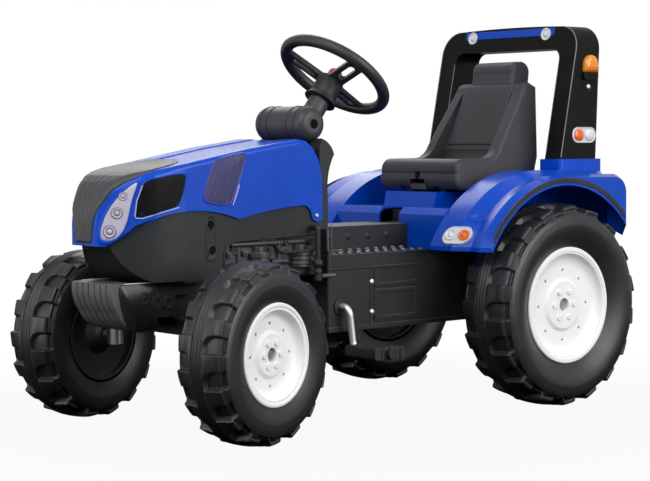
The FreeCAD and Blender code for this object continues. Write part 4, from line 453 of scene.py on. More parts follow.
@dataclass
class Skin:
    """Mesh in the making: rows of points and the faces between them."""

    open_angle = 4.0
    points: List[np.ndarray] = field(default_factory=list)
    faces: List[Tuple[int, ...]] = field(default_factory=list)
    count: int = 0

    def grid(self, rows: np.ndarray, loop_rows: bool = False, loop_columns: bool = False,
             flip: bool = False) -> None:
        """Adds a sheet of quads.

        Args:
            rows: Points in an array of rows, columns and three parts.
            loop_rows: Whether the last row meets the first.
            loop_columns: Whether the last column meets the first.
            flip: Whether the faces look the other way.
        """
        high, wide = rows.shape[:2]
        start = self.count
        self.points.append(rows.reshape(-1, 3))
        self.count += high * wide
        for row in range(high if loop_rows else high - 1):
            below = start + ((row + 1) % high) * wide
            level = start + row * wide
            for column in range(wide if loop_columns else wide - 1):
                after = (column + 1) % wide
                face = (level + column, level + after, below + after, below + column)
                self.faces.append(face[::-1] if flip else face)

    def fan(self, ring: np.ndarray, flip: bool = False) -> None:
        """Adds one face over a ring of points.

        Args:
            ring: Points in order.
            flip: Whether the face looks the other way.
        """
        start = self.count
        self.points.append(ring)
        self.count += len(ring)
        face = tuple(range(start, start + len(ring)))
        self.faces.append(face[::-1] if flip else face)

    def turned(self, profile: Sequence[Tuple[float, float]], origin: Point, axis: Point,
               around: int = 32) -> None:
        """Adds a surface turned about an axis.

        Args:
            profile: Pairs of radius and height along the axis, from the outside in.
            origin: Foot of the axis.
            axis: Direction of the axis.
            around: Number of steps round it.
        """
        ahead = Vector(axis).normalized()
        level = ahead.orthogonal().normalized()
        ring = spokes(level, ahead.cross(level), around)
        rows = [np.array(origin) + radius * ring + height * np.array(ahead) for radius, height in profile]
        self.grid(np.array(rows), loop_columns=True)

    def tube(self, path: Sequence[Point], radius: float, sides: int = 10) -> None:
        """Adds a round bead along a path.

        Args:
            path: Points of the middle line.
            radius: Radius of the bead.
            sides: Number of steps round it.
        """
        line = np.array(path, float)
        rows = []
        level: Optional[Vector] = None
        for index, point in enumerate(line):
            before = line[max(index - 1, 0)]
            after = line[min(index + 1, len(line) - 1)]
            ahead = Vector(after - before).normalized()
            level = ahead.orthogonal() if level is None else level - ahead * level.dot(ahead)
            level.normalize()
            rows.append(point + radius * spokes(level, ahead.cross(level), sides))
        self.grid(np.array(rows), loop_columns=True)
        self.fan(rows[0], flip=True)
        self.fan(rows[-1])

    def ringed(self, outline: np.ndarray, levels: Sequence[Tuple[float, float]],
               place: Placer, flip: bool = False) -> None:
        """Adds rings that shrink from an outline towards its middle.

        Args:
            outline: Flat corners in order.
            levels: Pairs of the share of the outline's size and the height there.
            place: Puts flat points at a height into the shared frame.
            flip: Whether the faces look the other way.
        """
        middle = outline.mean(axis=0)
        rows = [place(middle + share * (outline - middle), height) for share, height in levels]
        self.grid(np.array(rows), loop_columns=True, flip=flip)

    def piece(self, name: str, material: bpy.types.Material, body: str, slot: str,
              replaces: Sequence[str] = (), smooth: float = 40.0) -> bpy.types.Object:
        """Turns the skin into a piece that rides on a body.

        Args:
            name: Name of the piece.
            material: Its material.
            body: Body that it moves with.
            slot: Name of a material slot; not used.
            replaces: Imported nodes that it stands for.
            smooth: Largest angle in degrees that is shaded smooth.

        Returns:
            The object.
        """
        data = bpy.data.meshes.new(name)
        data.from_pydata([tuple(point) for part in self.points for point in part], [], self.faces)
        data.validate()
        mesh = bmesh.new()
        mesh.from_mesh(data)
        bmesh.ops.remove_doubles(mesh, verts=mesh.verts, dist=WELD)
        limit = math.radians(smooth)
        for edge in mesh.edges:
            edge.smooth = len(edge.link_faces) == 2 and edge.calc_face_angle(self.open_angle) < limit
        for face in mesh.faces:
            face.smooth = True
        mesh.to_mesh(data)
        mesh.free()
        data.materials.append(material)
        made = bpy.data.objects.new(name, data)
        bpy.context.scene.collection.objects.link(made)
        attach(made, body)
        if replaces:
            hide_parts(*replaces)
        LOG.info("%s rides on %s with %d faces", name, body, len(data.polygons))
        return made


def ease(low: float, high: float, value: np.ndarray) -> np.ndarray:
    """Smooth step from 0 to 1.

    Args:
        low: Value that gives 0.
        high: Value that gives 1.
        value: Values to ease.

    Returns:
        The eased values.
    """
    part = np.clip((value - low) / (high - low), 0.0, 1.0)
    return part * part * (3.0 - 2.0 * part)


def inside_distance(points: np.ndarray, ring: np.ndarray) -> np.ndarray:
    """Distance of flat points from a closed outline, positive inside.

    Args:
        points: Points, one pair in each row.
        ring: Corners of the outline in order.

    Returns:
        One distance for each point.
    """
    near = np.full(len(points), np.inf)
    inside = np.zeros(len(points), bool)
    for start, end in zip(ring, np.roll(ring, -1, axis=0)):
        run = end - start
        along = np.clip(((points - start) @ run) / max(run @ run, TINY), 0.0, 1.0)
        near = np.minimum(near, np.linalg.norm(points - start - along[:, None] * run, axis=1))
        crosses = (start[1] > points[:, 1]) != (end[1] > points[:, 1])
        rise = end[1] - start[1] if end[1] != start[1] else TINY
        inside ^= crosses & (points[:, 0] < start[0] + (points[:, 1] - start[1]) * run[0] / rise)
    return np.where(inside, near, -near)


@dataclass
class Wheel:
    """Wheel with a moulded tyre: ribbed centre band and two rows of swept lugs."""

    name: str
    body: str
    side: Side
    centre: Point
    steer: float
    radius: float
    width: float
    rim_radius: float
    inset: float
    lugs: int
    lug_height: float = 0.011
    lug_share: float = 0.52
    lug_reach: float = 1.02
    lug_bend: float = 0.45
    lug_sweep: float = 0.9
    lug_slope: float = 0.34
    slope_reach: float = 0.7
    lug_edge: Tuple[float, float] = (-0.0010, 0.0014)
    floor_height: float = 0.16
    floor_fade: Tuple[float, float] = (0.50, 0.80)
    band_half: float = 0.012
    band_edge: Tuple[float, float] = (0.001, 0.0012)
    rib_pitch: float = 0.0068
    rib_depth: float = 0.22
    shoulder_share: float = 0.19
    corner_in: float = 0.45
    corner_drop: float = 0.1
    flat_share: float = 0.56
    crown_fall: float = 0.0022
    bead_fit: float = 0.0003
    wall_fall: Tuple[float, float] = (0.014, 0.019)
    groove_depth: float = 0.14
    groove_falls: Tuple[float, float, float, float] = (0.030, 0.032, 0.034, 0.036)
    around: int = 36

    def to_frame(self, rows: np.ndarray) -> np.ndarray:
        """Moves points from the wheel's own frame into the shared frame.

        Args:
            rows: Points with the axle along x, outward positive.

        Returns:
            The moved points.
        """
        turn = math.radians(self.steer)
        out = rows[..., 0] * self.side.value
        moved = np.stack([
            out * math.cos(turn) - rows[..., 1] * math.sin(turn),
            out * math.sin(turn) + rows[..., 1] * math.cos(turn),
            rows[..., 2],
        ], axis=-1)
        return moved + np.array(self.centre)

    def section(self, crown: float, half: float) -> np.ndarray:
        """Half of the tyre's section from the middle of the tread to the bead.

        Args:
            crown: Radius of the tread.
            half: Half of the width.

        Returns:
            Pairs of axial place and radius.
        """
        shoulder = self.shoulder_share * half
        flat = self.flat_share * half
        bead = np.array([self.width / 2 - self.inset, self.rim_radius + self.bead_fit])
        middle = np.array([half, (bead[1] + crown) / 2])
        top = np.array([half - shoulder, crown - shoulder])
        band = np.linspace(0.0, self.band_half, 15)
        across = np.concatenate([band, np.linspace(self.band_half, flat, 9)[1:]])
        rows = [(part, crown - self.crown_fall * (part / flat) ** 2) for part in across]
        corner = np.array([half - self.corner_in * shoulder, crown - self.corner_drop * shoulder])
        pull = 2 * middle - (top + bead) / 2
        for start, bend, end, steps in ((np.array(rows[-1]), corner, top, 9), (top, pull, bead, 19)):
            for part in np.linspace(0.0, 1.0, steps)[1:]:
                rows.append(tuple((1 - part) ** 2 * start + 2 * part * (1 - part) * bend + part ** 2 * end))
        return np.array(rows)

    def lug_ring(self, half: float) -> np.ndarray:
        """Outline of a lug seen from above the tread.

        Args:
            half: Half of the tyre's width.

        Returns:
            Corners as pairs of axial place and run along the tread.
        """
        wide, gap = self.spans()
        inner = self.band_half - self.band_edge[0]
        outer = self.lug_reach * half
        bend = inner + self.lug_bend * (outer - inner)
        ring = []
        for part in np.linspace(0.0, math.pi / 2, 9):
            sweep = self.lug_sweep * gap * (1.0 - math.sin(part))
            ring.append((bend - (bend - inner) * math.cos(part), -wide / 2 - sweep))
        ring += [(outer, -wide / 2), (outer, wide / 2), (inner, wide / 2)]
        return np.array(ring)

    def spans(self) -> Tuple[float, float]:
        """Width of a lug and of the gap after it, along the tread."""
        pitch = 2 * math.pi * self.radius / self.lugs
        return self.lug_share * pitch, (1.0 - self.lug_share) * pitch

    def raised(self, low: np.ndarray, high: np.ndarray, angles: np.ndarray, shift: float) -> np.ndarray:
        """Height of the tread pattern over one pitch, 0 at its floor and 1 at the lugs.

        Args:
            low: Section under the pattern.
            high: Section over the pattern.
            angles: Angles over one pitch.
            shift: Place of the first lug in pitches.

        Returns:
            One row for each angle and one column for each point of the section.
        """
        half = self.width / 2
        wide = self.spans()[0]
        pitch = 2 * math.pi / self.lugs
        across = high[:, 0]
        fall = self.radius - high[:, 1]
        height = np.zeros((len(angles), len(low)))
        for copy in (-1, 0, 1, 2):
            run = (angles - (shift + copy) * pitch)[:, None] * self.radius
            flat = np.stack(np.broadcast_arrays(across[None, :], run), axis=-1).reshape(-1, 2)
            depth = inside_distance(flat, self.lug_ring(half)).reshape(height.shape)
            lean = np.clip((wide / 2 - run) / wide, 0.0, 1.0)
            slope = lean * ease(self.band_half, self.slope_reach * half, across)[None, :]
            height = np.maximum(height, ease(*self.lug_edge, depth) * (1.0 - self.lug_slope * slope))
        near, far = self.floor_fade
        floor = self.floor_height * (1.0 - ease(near * half, far * half, across))
        one, two, three, four = self.groove_falls
        groove = self.groove_depth * (ease(one, two, fall) - ease(three, four, fall))
        wall = ease(*self.wall_fall, fall) - groove
        height = np.maximum(np.maximum(height, floor[None, :]), wall[None, :])
        centre = low[:, 0]
        inner, outer = self.band_edge
        band = 1.0 - ease(self.band_half - inner, self.band_half + outer, centre)
        ribs = self.rib_depth * (0.5 - 0.5 * np.cos(2 * math.pi * centre / self.rib_pitch))
        ribs = ribs * (centre < self.band_half - outer)
        return np.maximum(height, (band - ribs)[None, :])

    def build(self, material: bpy.types.Material) -> bpy.types.Object:
        """Makes the tyre.

        Args:
            material: Material of the tyre.

        Returns:
            The tyre's object.
        """
        half = self.width / 2
        low = self.section(self.radius - self.lug_height, half - self.lug_height / 3)
        high = self.section(self.radius, half)
        pitch = 2 * math.pi / self.lugs
        angles = np.arange(self.around) * pitch / self.around
        skin = Skin()
        for sign, shift in ((1.0, 0.0), (-1.0, 0.5)):
            tiled = np.tile(self.raised(low, high, angles, shift), (self.lugs, 1))
            turn = np.arange(self.lugs * self.around) * pitch / self.around
            axial = low[None, :, 0] + tiled * (high - low)[None, :, 0]
            radial = low[None, :, 1] + tiled * (high - low)[None, :, 1]
            along, up = radial * np.sin(turn)[:, None], radial * np.cos(turn)[:, None]
            rows = self.to_frame(np.stack([sign * axial, along, up], axis=-1))
            skin.grid(rows, loop_rows=True, flip=(sign * self.side.value < 0))
        end, side = self.name.split("_")
        return skin.piece(f"{self.name}_tyre_skin", material, self.body, "tyre_black",
                          [f"{end}_tyre_{side}"], 50.0)


class Surface:
    """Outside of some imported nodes, for laying detail on them."""

    far_side: float = 0.6
    far_front: float = 0.9

    def __init__(self, *names: str) -> None:
        """Gathers the faces of the nodes."""
        corners: List[Vector] = []
        faces: List[List[int]] = []
        for name in names:
            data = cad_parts[name].data
            start = len(corners)
            corners += [vertex.co.copy() for vertex in data.vertices]
            faces += [[start + index for index in polygon.vertices] for polygon in data.polygons]
        self.corners = np.array(corners)
        self.tree = BVHTree.FromPolygons(corners, faces)

    def onto(self, start: np.ndarray, ahead: np.ndarray) -> np.ndarray:
        """First point that a ray meets, or else the nearest point.

        Args:
            start: Start of the ray, outside the surface.
            ahead: Direction of the ray.

        Returns:
            The point.
        """
        hit = self.tree.ray_cast(Vector(start), Vector(ahead))[0]
        if hit is None:
            hit = self.tree.find_nearest(Vector(start))[0]
        return np.array(hit)

    def beside(self, side: Side) -> Placer:
        """Way of laying pairs of y and z on the surface from one side.

        Args:
            side: Side that the surface is seen from.

        Returns:
            The placer, with heights measured outwards along x.
        """
        out = np.array(side.out)

        def place(flat: np.ndarray, height: float) -> np.ndarray:
            """Lays the points."""
            starts = [np.array((side.value * self.far_side, along, up)) for along, up in flat]
            return np.array([self.onto(start, -out) + height * out for start in starts])

        return place

    def facing(self) -> Placer:
        """Way of laying pairs of x and z on the surface from the front.

        Returns:
            The placer, with heights measured towards the front.
        """
        out = np.array((0.0, -1.0, 0.0))

        def place(flat: np.ndarray, height: float) -> np.ndarray:
            """Lays the points."""
            starts = [np.array((across, -self.far_front, up)) for across, up in flat]
            return np.array([self.onto(start, -out) + height * out for start in starts])

        return place

    def middle(self, low: Point, high: Point) -> np.ndarray:
        """Middle of the corners that lie in a box.

        Args:
            low: Lower corner of the box.
            high: Upper corner of the box.

        Returns:
            The middle of their own box.
        """
        inside = np.all((self.corners >= low) & (self.corners <= high), axis=1)
        found = self.corners[inside]
        return (found.min(axis=0) + found.max(axis=0)) / 2


def softened(corners: Sequence[Tuple[float, float]], first: float = 0.16, passes: int = 3,
             later: float = 0.25) -> np.ndarray:
    """Closed outline with its corners cut round.

    Args:
        corners: Corners in order.
        first: Share of each side that the first cut takes at both ends.
        passes: Number of cuts.
        later: Share of each side that the later cuts take.

    Returns:
        The finer outline.
    """
    ring = np.array(corners, float)
    for step in range(passes):
        part = first if step == 0 else later
        after = np.roll(ring, -1, axis=0)
        pair = [(1 - part) * ring + part * after, part * ring + (1 - part) * after]
        ring = np.stack(pair, axis=1).reshape(-1, 2)
    return ring


def stadium(middle: Tuple[float, float], half_wide: float, half_high: float, steps: int = 14) -> np.ndarray:
    """Outline with straight sides and round ends.

    Args:
        middle: Middle of the outline.
        half_wide: Half of its first size.
        half_high: Half of its second size.
        steps: Steps in each round end.

    Returns:
        Points in order, counter-clockwise.
    """
    radius = min(half_wide, half_high)
    reach = np.array((half_wide - radius, half_high - radius))
    ring = []
    off_axis = 0.001
    for turn in np.linspace(0.0, 2 * math.pi, 4 * steps, endpoint=False) + off_axis:
        aim = np.array((math.cos(turn), math.sin(turn)))
        ring.append(np.array(middle) + radius * aim + reach * np.sign(aim))
    return np.array(ring)


def mirrored(points: Sequence[Point], side: Side) -> np.ndarray:
    """Points of the left side, moved to a side.

    Args:
        points: Points with x positive.
        side: Side that is wanted.

    Returns:
        The points on that side.
    """
    return np.array(points) * (side.value, 1.0, 1.0)


LAMP_BOWL: Pairs = (
    (1.0, 0.0), (1.0, 0.20), (0.94, 0.26), (0.86, 0.26), (0.80, 0.16), (0.55, 0.10), (0.46, 0.12),
    (0.44, 0.22), (0.36, 0.30), (0.18, 0.36), (0.0, 0.38),
)
DOME: Pairs = (
    (1.0, 0.0), (0.98, 0.16), (0.92, 0.30), (0.80, 0.42), (0.60, 0.52), (0.32, 0.58), (0.0, 0.60),
)


def scaled(profile: Sequence[Tuple[float, float]], size: float) -> List[Tuple[float, float]]:
    """A profile at another size.

    Args:
        profile: Pairs of radius and height.
        size: Factor for both.

    Returns:
        The scaled pairs.
    """
    return [(size * radius, size * height) for radius, height in profile]


@dataclass
class Bonnet:
    """Trim of the bonnet: ribbed nose panel, headlights, black side vents and mesh vents.

    Outlines and lines hold distances behind the nose and heights above the ground. Levels hold shares
    of an outline and heights above the shell.
    """

    nose: float = -0.541
    headlight: Pairs = (
        (0.057, 0.434), (0.044, 0.425), (0.032, 0.412), (0.022, 0.397), (0.013, 0.377), (0.007, 0.358),
        (0.006, 0.345), (0.010, 0.3375), (0.019, 0.337), (0.029, 0.343), (0.036, 0.354), (0.041, 0.369),
        (0.044, 0.385), (0.047, 0.401), (0.052, 0.418),
    )
    bezel: Pairs = (
        (1.20, -0.0004), (1.17, 0.0012), (1.11, 0.0021), (1.05, 0.0021), (1.01, 0.0012), (0.98, 0.0006),
    )
    lens: Pairs = ((1.02, 0.0002), (1.0, 0.0011), (0.9, 0.0016), (0.7, 0.0020), (0.4, 0.0023), (0.0, 0.0024))
    lamps: Triples = (
        (-0.5053, 0.4099, 0.0066), (-0.5131, 0.3821, 0.0088), (-0.5225, 0.3516, 0.0098),
    )
    lamp_proud: float = 0.0016
    lamp_step: float = 0.003
    lamp_rings: Triples = ((1.0, 1.12, 0.10), (0.46, 0.58, 0.15))
    ring_crown: float = 0.02
    side_vent: Pairs = (
        (0.065, 0.431), (0.055, 0.404), (0.050, 0.370), (0.094, 0.383), (0.131, 0.392), (0.147, 0.448),
        (0.078, 0.437),
    )
    mesh_vent: Pairs = (
        (0.203, 0.467), (0.182, 0.419), (0.180, 0.398), (0.239, 0.389), (0.273, 0.480), (0.244, 0.475),
    )
    lip: Pairs = ((1.07, -0.0004), (1.055, 0.0013), (1.03, 0.0019), (1.0, 0.0013), (0.985, 0.0004))
    pane: Pairs = ((1.0, 0.0006), (0.6, 0.0010), (0.3, 0.0011), (0.0, 0.0011))
    # Pale lines along the vents' lower and outer edges: a painted highlight, the reflection on the lips.
    vent_highlight_lines: Tuple[Pairs, ...] = (
        ((0.0515, 0.3735), (0.062, 0.3725), (0.094, 0.3815), (0.128, 0.3895)),
        ((0.0515, 0.3755), (0.0545, 0.402), (0.063, 0.4275)),
        ((0.2405, 0.3905), (0.2500, 0.4120), (0.2545, 0.4250)),
    )
    line_proud: float = 0.0018
    line_radius: float = 0.0011
    bars: int = 5
    bar_first: float = 0.190
    bar_pitch: float = 0.0105
    bar_low: Tuple[float, float] = (0.397, -0.0014)
    bar_high: Tuple[float, float] = (0.436, 0.0085)
    bar_lean: float = 0.37
    bar_pivot: float = 0.392
    bar_proud: float = 0.0011
    bar_radius: float = 0.0009
    panel_line: Triples = (
        (0.0, 0.331, 0.023), (0.0, 0.350, 0.026), (0.0, 0.368, 0.030), (0.0025, 0.388, 0.038),
        (0.007, 0.403, 0.0435), (0.014, 0.418, 0.049), (0.025, 0.431, 0.0565), (0.043, 0.442, 0.067),
        (0.062, 0.4475, 0.0745), (0.085, 0.452, 0.079), (0.100, 0.4544, 0.079), (0.122, 0.4586, 0.076),
        (0.140, 0.4618, 0.068), (0.154, 0.4644, 0.057), (0.165, 0.4663, 0.040), (0.172, 0.4676, 0.020),
        (0.174, 0.468, 0.003),
    )
    panel_rows: int = 84
    panel_columns: int = 91
    panel_reach: float = 0.12
    panel_proud: float = 0.0026
    panel_sunk: float = 0.0004
    panel_edge: float = 0.0022
    ribs: float = 7.0
    rib_depth: float = 0.0011
    rib_fade: Tuple[float, float] = (0.002, 0.006)
    slope_window: int = 9

    def shift(self, outline: Sequence[Tuple[float, float]]) -> np.ndarray:
        """Line with its distances behind the nose turned into y.

        Args:
            outline: Pairs of distance and height.

        Returns:
            Pairs of y and z.
        """
        return np.array([(self.nose + back, up) for back, up in outline])

    def build(self, looks: Looks) -> None:
        """Makes the trim.

        Args:
            looks: Materials by name.
        """
        shell = Surface("bonnet")
        self._grille(shell, looks["grille_grey"])
        self._headlights(shell, looks)
        self._vents(shell, looks)

    def _panel(self, shell: Surface, outline: Pairs, levels: Pairs) -> Skin:
        """The same ringed panel on both sides.

        Args:
            shell: Surface that it lies on.
            outline: Corners, counter-clockwise from the left side.
            levels: Shares of the outline and heights.

        Returns:
            The skin of both panels.
        """
        skin = Skin()
        for side in Side:
            skin.ringed(softened(self.shift(outline)), levels, shell.beside(side), flip=side is Side.RIGHT)
        return skin

    def _headlights(self, shell: Surface, looks: Looks) -> None:
        """Teardrop headlights with three round lamps in each.

        Args:
            shell: Surface of the bonnet.
            looks: Materials by name.
        """
        bezels = self._panel(shell, self.headlight, self.bezel)
        bezels.piece("headlight_bezels", looks["body_blue"], "frame", "body_blue")
        lenses = self._panel(shell, self.headlight, self.lens)
        lenses.piece("headlight_lenses", looks["lens_white"], "frame", "trim_white", ["headlights"])
        bowls, rings = Skin(), Skin()
        for side in Side:
            place = shell.beside(side)
            for along, up, radius in self.lamps:
                flat = [(along - self.lamp_step, up), (along + self.lamp_step, up), (along, up)]
                front, back, middle = place(np.array(flat), self.lamp_proud)
                axis = tuple(np.cross(back - front, (0.0, 0.0, 1.0)) * side.value)
                bowls.turned(scaled(LAMP_BOWL, radius), tuple(middle), axis)
                for inner, outer, rise in self.lamp_rings:
                    ring = [(outer, 0.0), (outer, rise), (inner, rise + self.ring_crown), (inner, 0.0)]
                    rings.turned(scaled(ring, radius), tuple(middle), axis)
        bowls.piece("headlight_bowls", looks["lens_white"], "frame", "trim_white")
        rings.piece("headlight_rings", looks["ring_grey"], "frame", "trim_white")

    def _vents(self, shell: Surface, looks: Looks) -> None:
        """Black side vents and mesh vents, each in a raised lip, with pale lines along some vent edges that
        are a painted highlight.

        Args:
            shell: Surface of the bonnet.
            looks: Materials by name.
        """
        lips = self._panel(shell, self.side_vent, self.lip)
        lips.piece("side_vent_lips", looks["body_blue"], "frame", "body_blue")
        lips = self._panel(shell, self.mesh_vent, self.lip)
        lips.piece("mesh_vent_lips", looks["mesh_lip"], "frame", "body_blue")
        panes = self._panel(shell, self.side_vent, self.pane)
        panes.piece("side_vent_panes", looks["vent_gloss"], "frame", "trim_black", ["bonnet_vents"])
        panes = self._panel(shell, self.mesh_vent, self.pane)
        panes.piece("mesh_vent_panes", looks["mesh_violet"], "frame", "trim_black")
        edges, bars = Skin(), Skin()
        for side in Side:
            place = shell.beside(side)
            for line in self.vent_highlight_lines:
                edges.tube(place(self.shift(line), self.line_proud), self.line_radius, 8)
            for step in range(self.bars):
                foot = self.bar_first + self.bar_pitch * step
                low, high = (first + rise * step for first, rise in (self.bar_low, self.bar_high))
                ups = np.linspace(low, high, 9)
                line = [(foot + self.bar_lean * (up - self.bar_pivot), up) for up in ups]
                bars.tube(place(self.shift(line), self.bar_proud), self.bar_radius, 8)
        # The pale lines are a painted highlight along the vent edges.
        edges.piece("vent_edge_highlights", looks["edge_highlight_pale"], "frame", "body_blue")
        bars.piece("mesh_vent_bars", looks["trim_black"], "frame", "trim_black")

    def _grille(self, shell: Surface, material: bpy.types.Material) -> None:
        """Ribbed panel over the nose and the front of the bonnet's top.

        Args:
            shell: Surface of the bonnet.
            material: Material of the panel.
        """
        line = np.array(self.panel_line)
        lengths = np.linalg.norm(np.diff(line[:, :2], axis=0), axis=1)
        steps = np.concatenate([[0.0], np.cumsum(lengths)])
        runs = np.linspace(0.0, steps[-1], self.panel_rows)
        back, up, half = (np.interp(runs, steps, line[:, part]) for part in range(3))
        slope = np.stack([np.gradient(back, runs), np.gradient(up, runs)], axis=1)
        window = np.ones(self.slope_window) / self.slope_window
        for part in range(2):
            padded = np.pad(slope[:, part], self.slope_window // 2, mode="edge")
            slope[:, part] = np.convolve(padded, window, "valid")
        shares = np.linspace(-1.0, 1.0, self.panel_columns)
        rows = np.zeros((len(runs), len(shares), 3))
        for row in range(len(runs)):
            ahead = np.array((0.0, slope[row, 1], -slope[row, 0]))
            ahead /= np.linalg.norm(ahead)
            for column, share in enumerate(shares):
                spot = np.array((share * half[row], self.nose + back[row], up[row]))
                rows[row, column] = shell.onto(spot - self.panel_reach * ahead, ahead)
        normal = np.cross(np.gradient(rows, axis=1), np.gradient(rows, axis=0))
        normal /= np.maximum(np.linalg.norm(normal, axis=2, keepdims=True), TINY)
        rise = np.minimum((1.0 - np.abs(shares))[None, :] * half[:, None], runs[:, None])
        rise = np.minimum(rise, (runs[-1] - runs)[:, None] + self.panel_sunk)
        wave = 0.5 + 0.5 * np.cos(math.pi * self.ribs * (shares + 1.0))
        height = self.panel_proud * ease(0.0, self.panel_edge, rise) - self.panel_sunk
        height = height - self.rib_depth * (wave ** 3)[None, :] * ease(*self.rib_fade, rise)
        skin = Skin()
        skin.grid(rows + normal * height[..., None])
        skin.piece("nose_ribs", material, "frame", "trim_black", ["nose_grille"], 60.0)


@dataclass
class EngineBody:
    """Moulded detail of the dark lower body: slot with two holes whose dark insides are painted shade, window
    bead, pipes and bolts.
    """

    slot_middle: Tuple[float, float] = (-0.3440, 0.3362)
    slot_half: Tuple[float, float] = (0.0095, 0.0365)
    slot_levels: Pairs = (
        (1.14, -0.0003), (1.10, 0.0012), (1.02, 0.0014), (0.94, 0.0010), (0.90, 0.0002), (0.0, 0.0002),
    )
    holes: Pairs = ((-0.3449, 0.3584), (-0.3425, 0.3140))
    hole_ring: Pairs = ((0.0088, 0.0), (0.0088, 0.0011), (0.0080, 0.0016), (0.0072, 0.0013), (0.0068, 0.0003))
    hole_shade_disc: Pairs = ((0.0073, 0.0012), (0.0, 0.0012))
    window: Pairs = (
        (-0.110, 0.3335), (-0.200, 0.3305), (-0.284, 0.3275), (-0.300, 0.3245), (-0.310, 0.3185),
        (-0.3165, 0.306), (-0.3165, 0.290), (-0.3165, 0.276),
    )
    window_proud: float = 0.0006
    window_radius: float = 0.0022
    pipes: Tuple[Pairs, ...] = (
        ((-0.1925, 0.3165), (-0.1935, 0.3265), (-0.190, 0.3285), (-0.136, 0.3265), (-0.1325, 0.3245),
         (-0.129, 0.3164)),
        ((-0.2205, 0.3196), (-0.208, 0.3185), (-0.2012, 0.3154), (-0.196, 0.306), (-0.190, 0.3025),
         (-0.160, 0.3051), (-0.1401, 0.305), (-0.1134, 0.3047)),
    )
    pipe_proud: float = 0.0012
    pipe_radius: float = 0.0026
    bolts: Triples = (
        (-0.1816, 0.3205, 0.0052), (-0.1222, 0.3200, 0.0058), (-0.2150, 0.3100, 0.0040),
        (-0.2930, 0.3110, 0.0075),
    )
    bolt_shape: Pairs = (
        (1.0, -0.004), (1.0, 0.0026), (0.9, 0.0034), (0.55, 0.0034), (0.5, 0.0018), (0.0, 0.0018),
    )

    def build(self, looks: Looks) -> None:
        """Makes the detail on both sides.

        Args:
            looks: Materials by name.
        """
        body = Surface("engine_body")
        relief = Surface("engine_body", "engine_reliefs")
        plate, dark, bead, parts = Skin(), Skin(), Skin(), Skin()
        slot = stadium(self.slot_middle, *self.slot_half)
        for side in Side:
            on_body = body.beside(side)
            on_relief = relief.beside(side)
            plate.ringed(slot, self.slot_levels, on_body, flip=side is Side.RIGHT)
            for hole in self.holes:
                spot = tuple(on_body(np.array([hole]), 0.0)[0])
                plate.turned(self.hole_ring, spot, side.out)
                # Near-black disc just proud of the body: painted shade standing for the inside of the hole.
                dark.turned(self.hole_shade_disc, spot, side.out)
            bead.tube(on_body(np.array(self.window), self.window_proud), self.window_radius, 12)
            for pipe in self.pipes:
                parts.tube(on_relief(np.array(pipe), self.pipe_proud), self.pipe_radius, 12)
            for along, up, radius in self.bolts:
                spot = tuple(on_relief(np.array([(along, up)]), 0.0)[0])
                bolt = [(share * radius, height) for share, height in self.bolt_shape]
                parts.turned(bolt, spot, side.out)
        plate.piece("engine_slot_rims", looks["engine_grey"], "frame", "engine_grey")
        dark.piece("engine_slot_holes", looks["hole_shade_dark"], "frame", "engine_grey")
        bead.piece("engine_window_beads", looks["engine_grey"], "frame", "engine_grey")
        parts.piece("engine_pipes", looks["engine_grey"], "frame", "engine_grey")


